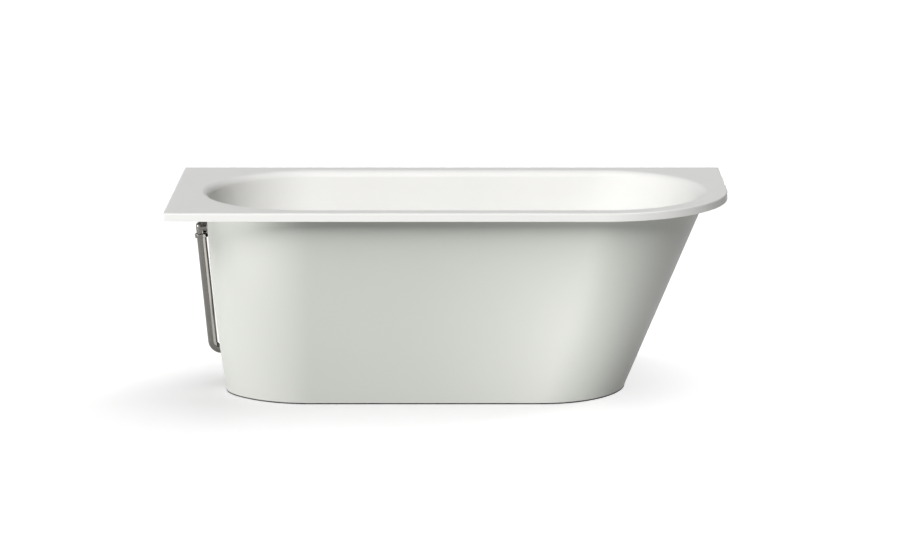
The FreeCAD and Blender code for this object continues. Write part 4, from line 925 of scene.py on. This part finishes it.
world = bpy.data.worlds.new("studio")
world.use_nodes = True
bpy.context.scene.world = world
tree = world.node_tree
brightness = add(tree, "MapRange", {"Value": seen_in(tree), "To Min": ROOM_LIGHT, "To Max": 1.0})
tree.links.new(brightness.outputs["Result"], tree.nodes["Background"].inputs["Strength"])
tree.nodes["Background"].inputs["Color"].default_value = WHITE
print("floor:", 2 * FLOOR_HALF, "m wide, with a glow of", FLOOR_GLOW)

# %% [markdown]
# A lamp is either so far off that it is equally strong everywhere, or a near box of soft
# light. Its place is given by its bearing from the front, its height angle and its distance.
# Light linking gives each lamp a list of the pieces that it lights, or leaves out, so that
# one piece can be lit without changing another.

# %% Kinds of lamp
# A far light shines alike from any place.
ANY_PLACE = (0, 0, 5)


def bearing(turn, rise, far=1.0):
    """A place round the bath: a bearing from the front towards the right, a height angle and a distance."""
    turn, rise = math.radians(turn), math.radians(rise)
    return far * Vector((math.sin(turn) * math.cos(rise), -math.cos(turn) * math.cos(rise), math.sin(rise)))


def put(name, light, at, way, linked):
    """A light at a place, shining one way, on what a collection says."""
    made = bpy.data.objects.new(name, light)
    made.location = at
    made.rotation_euler = way.to_track_quat("-Z", "Y").to_euler()
    made.visible_camera = False
    made.light_linking.receiver_collection = linked
    bpy.context.scene.collection.objects.link(made)
    return made


def far_light(name, way_in, strength, width, linked):
    """A light so far off that it is equally strong everywhere, as wide as an angle."""
    light = bpy.data.lights.new(name, "SUN")
    light.energy, light.angle = strength, math.radians(width)
    put(name, light, ANY_PLACE, -way_in, linked)


def soft_box(name, aim, from_aim, size, power, linked, roll=0):
    """A rectangle of light that faces its aim."""
    light = bpy.data.lights.new(name, "AREA")
    light.shape = "RECTANGLE"
    light.size, light.size_y = size
    light.energy = power
    made = put(name, light, Vector(aim) + from_aim, -from_aim, linked)
    made.rotation_euler.rotate_axis("Z", math.radians(roll))
    return made


def members(name, state, *pieces):
    """A collection of the pieces that a lamp lights alone, or leaves out."""
    group = bpy.data.collections.new(name)
    for made in pieces:
        group.objects.link(made)
    for entry in group.collection_objects:
        entry.light_linking.link_state = state
    return group

# %% [markdown]
# The photo's light comes from the front left. The skirt is lit from high up, with shade under
# the rim, and the bowl from lower down, with a dark foot. No one lamp does both, so shell
# and skirt have keys of their own, and a weak low light from the front lifts the shell. A box
# at the side and one behind light the whole bath. Three small boxes brighten the skirt's
# corners below the rim. One box lights only the overflow, through the shell and the skirt,
# for the streak on its pipe. The floor has a lamp above it and a low one from behind on the
# right, which lightens the shadow on that side.

# %% Lamps
on_floor, on_skirt = members("floor", "INCLUDE", floor), members("skirt", "INCLUDE", skirt)
on_bath, on_shell = members("bath", "EXCLUDE", floor), members("shell", "EXCLUDE", floor, skirt)
# Name, direction, strength, width in degrees, what it lights.
far_light("above", bearing(145, 73), 2.0, 52, on_floor)
far_light("floor right", bearing(125, 28), 1.05, 24, on_floor)
far_light("shell key", bearing(-20, 41), 2.85, 26, on_shell)
far_light("shell front", bearing(12, 18), 0.22, 30, on_shell)
far_light("skirt key", bearing(-27, 61), 5.65, 70, on_skirt)
# Name, aim, place seen from the aim, width and height, power in watts, what it lights.
soft_box("side", (0, 0, 0.3), bearing(-77, 1, 4.5), (2.2, 0.5), 94, on_bath)
soft_box("back fill", (0, 0.3, 0.28), bearing(170, 0, 3.0), (3.0, 0.5), 45, on_bath)
soft_box("corner strip", (0.39, -0.30, 0.13), bearing(14, 0, 0.50), (0.08, 0.30), 1.1, on_skirt, roll=17)
soft_box("right fill", (0.55, -0.1, 0.12), bearing(60, 0, 1.4), (0.8, 0.2), 0.6, on_skirt)
soft_box("left strip", (-0.63, -0.265, 0.535), bearing(-28, -5, 0.20), (0.16, 0.04), 0.14, on_skirt)
on_overflow = members("pipe", "INCLUDE", *overflow)
glint = soft_box("pipe glint", (-0.73, 0, 0.33), bearing(52, -12, 1.0), (1.1, 1.1), 9, on_overflow)
glint.light_linking.blocker_collection = members("not in its way", "EXCLUDE", skirt, shell, floor)
print("lamps:", [light.name for light in bpy.data.lights])

# %% [markdown]
# The camera stands where the rim's straight edges in the photo say it stood: far off, a
# little above the bath, with a long lens. It looks square at the front and slightly down, and
# a sideways shift of the lens puts the bath in its place in the picture.

# %% Camera
LENS, SENSOR, SIDE_SHIFT = 125.208, 36.0, -0.0186
STAND = (0.080821, -9.65093, 2.459978)
DOWN_ANGLE, SEES_TO = 12.332, 100
camera = bpy.data.cameras.new("camera")
camera.lens, camera.sensor_width, camera.shift_x = LENS, SENSOR, SIDE_SHIFT
camera.clip_end = SEES_TO
viewer = bpy.data.objects.new("camera", camera)
viewer.location = STAND
viewer.rotation_euler = (math.radians(90 - DOWN_ANGLE), 0, 0)
bpy.context.scene.collection.objects.link(viewer)
bpy.context.scene.camera = viewer
bpy.context.scene.view_settings.view_transform = "Standard"
print("camera:", STAND, "lens", LENS, "mm")
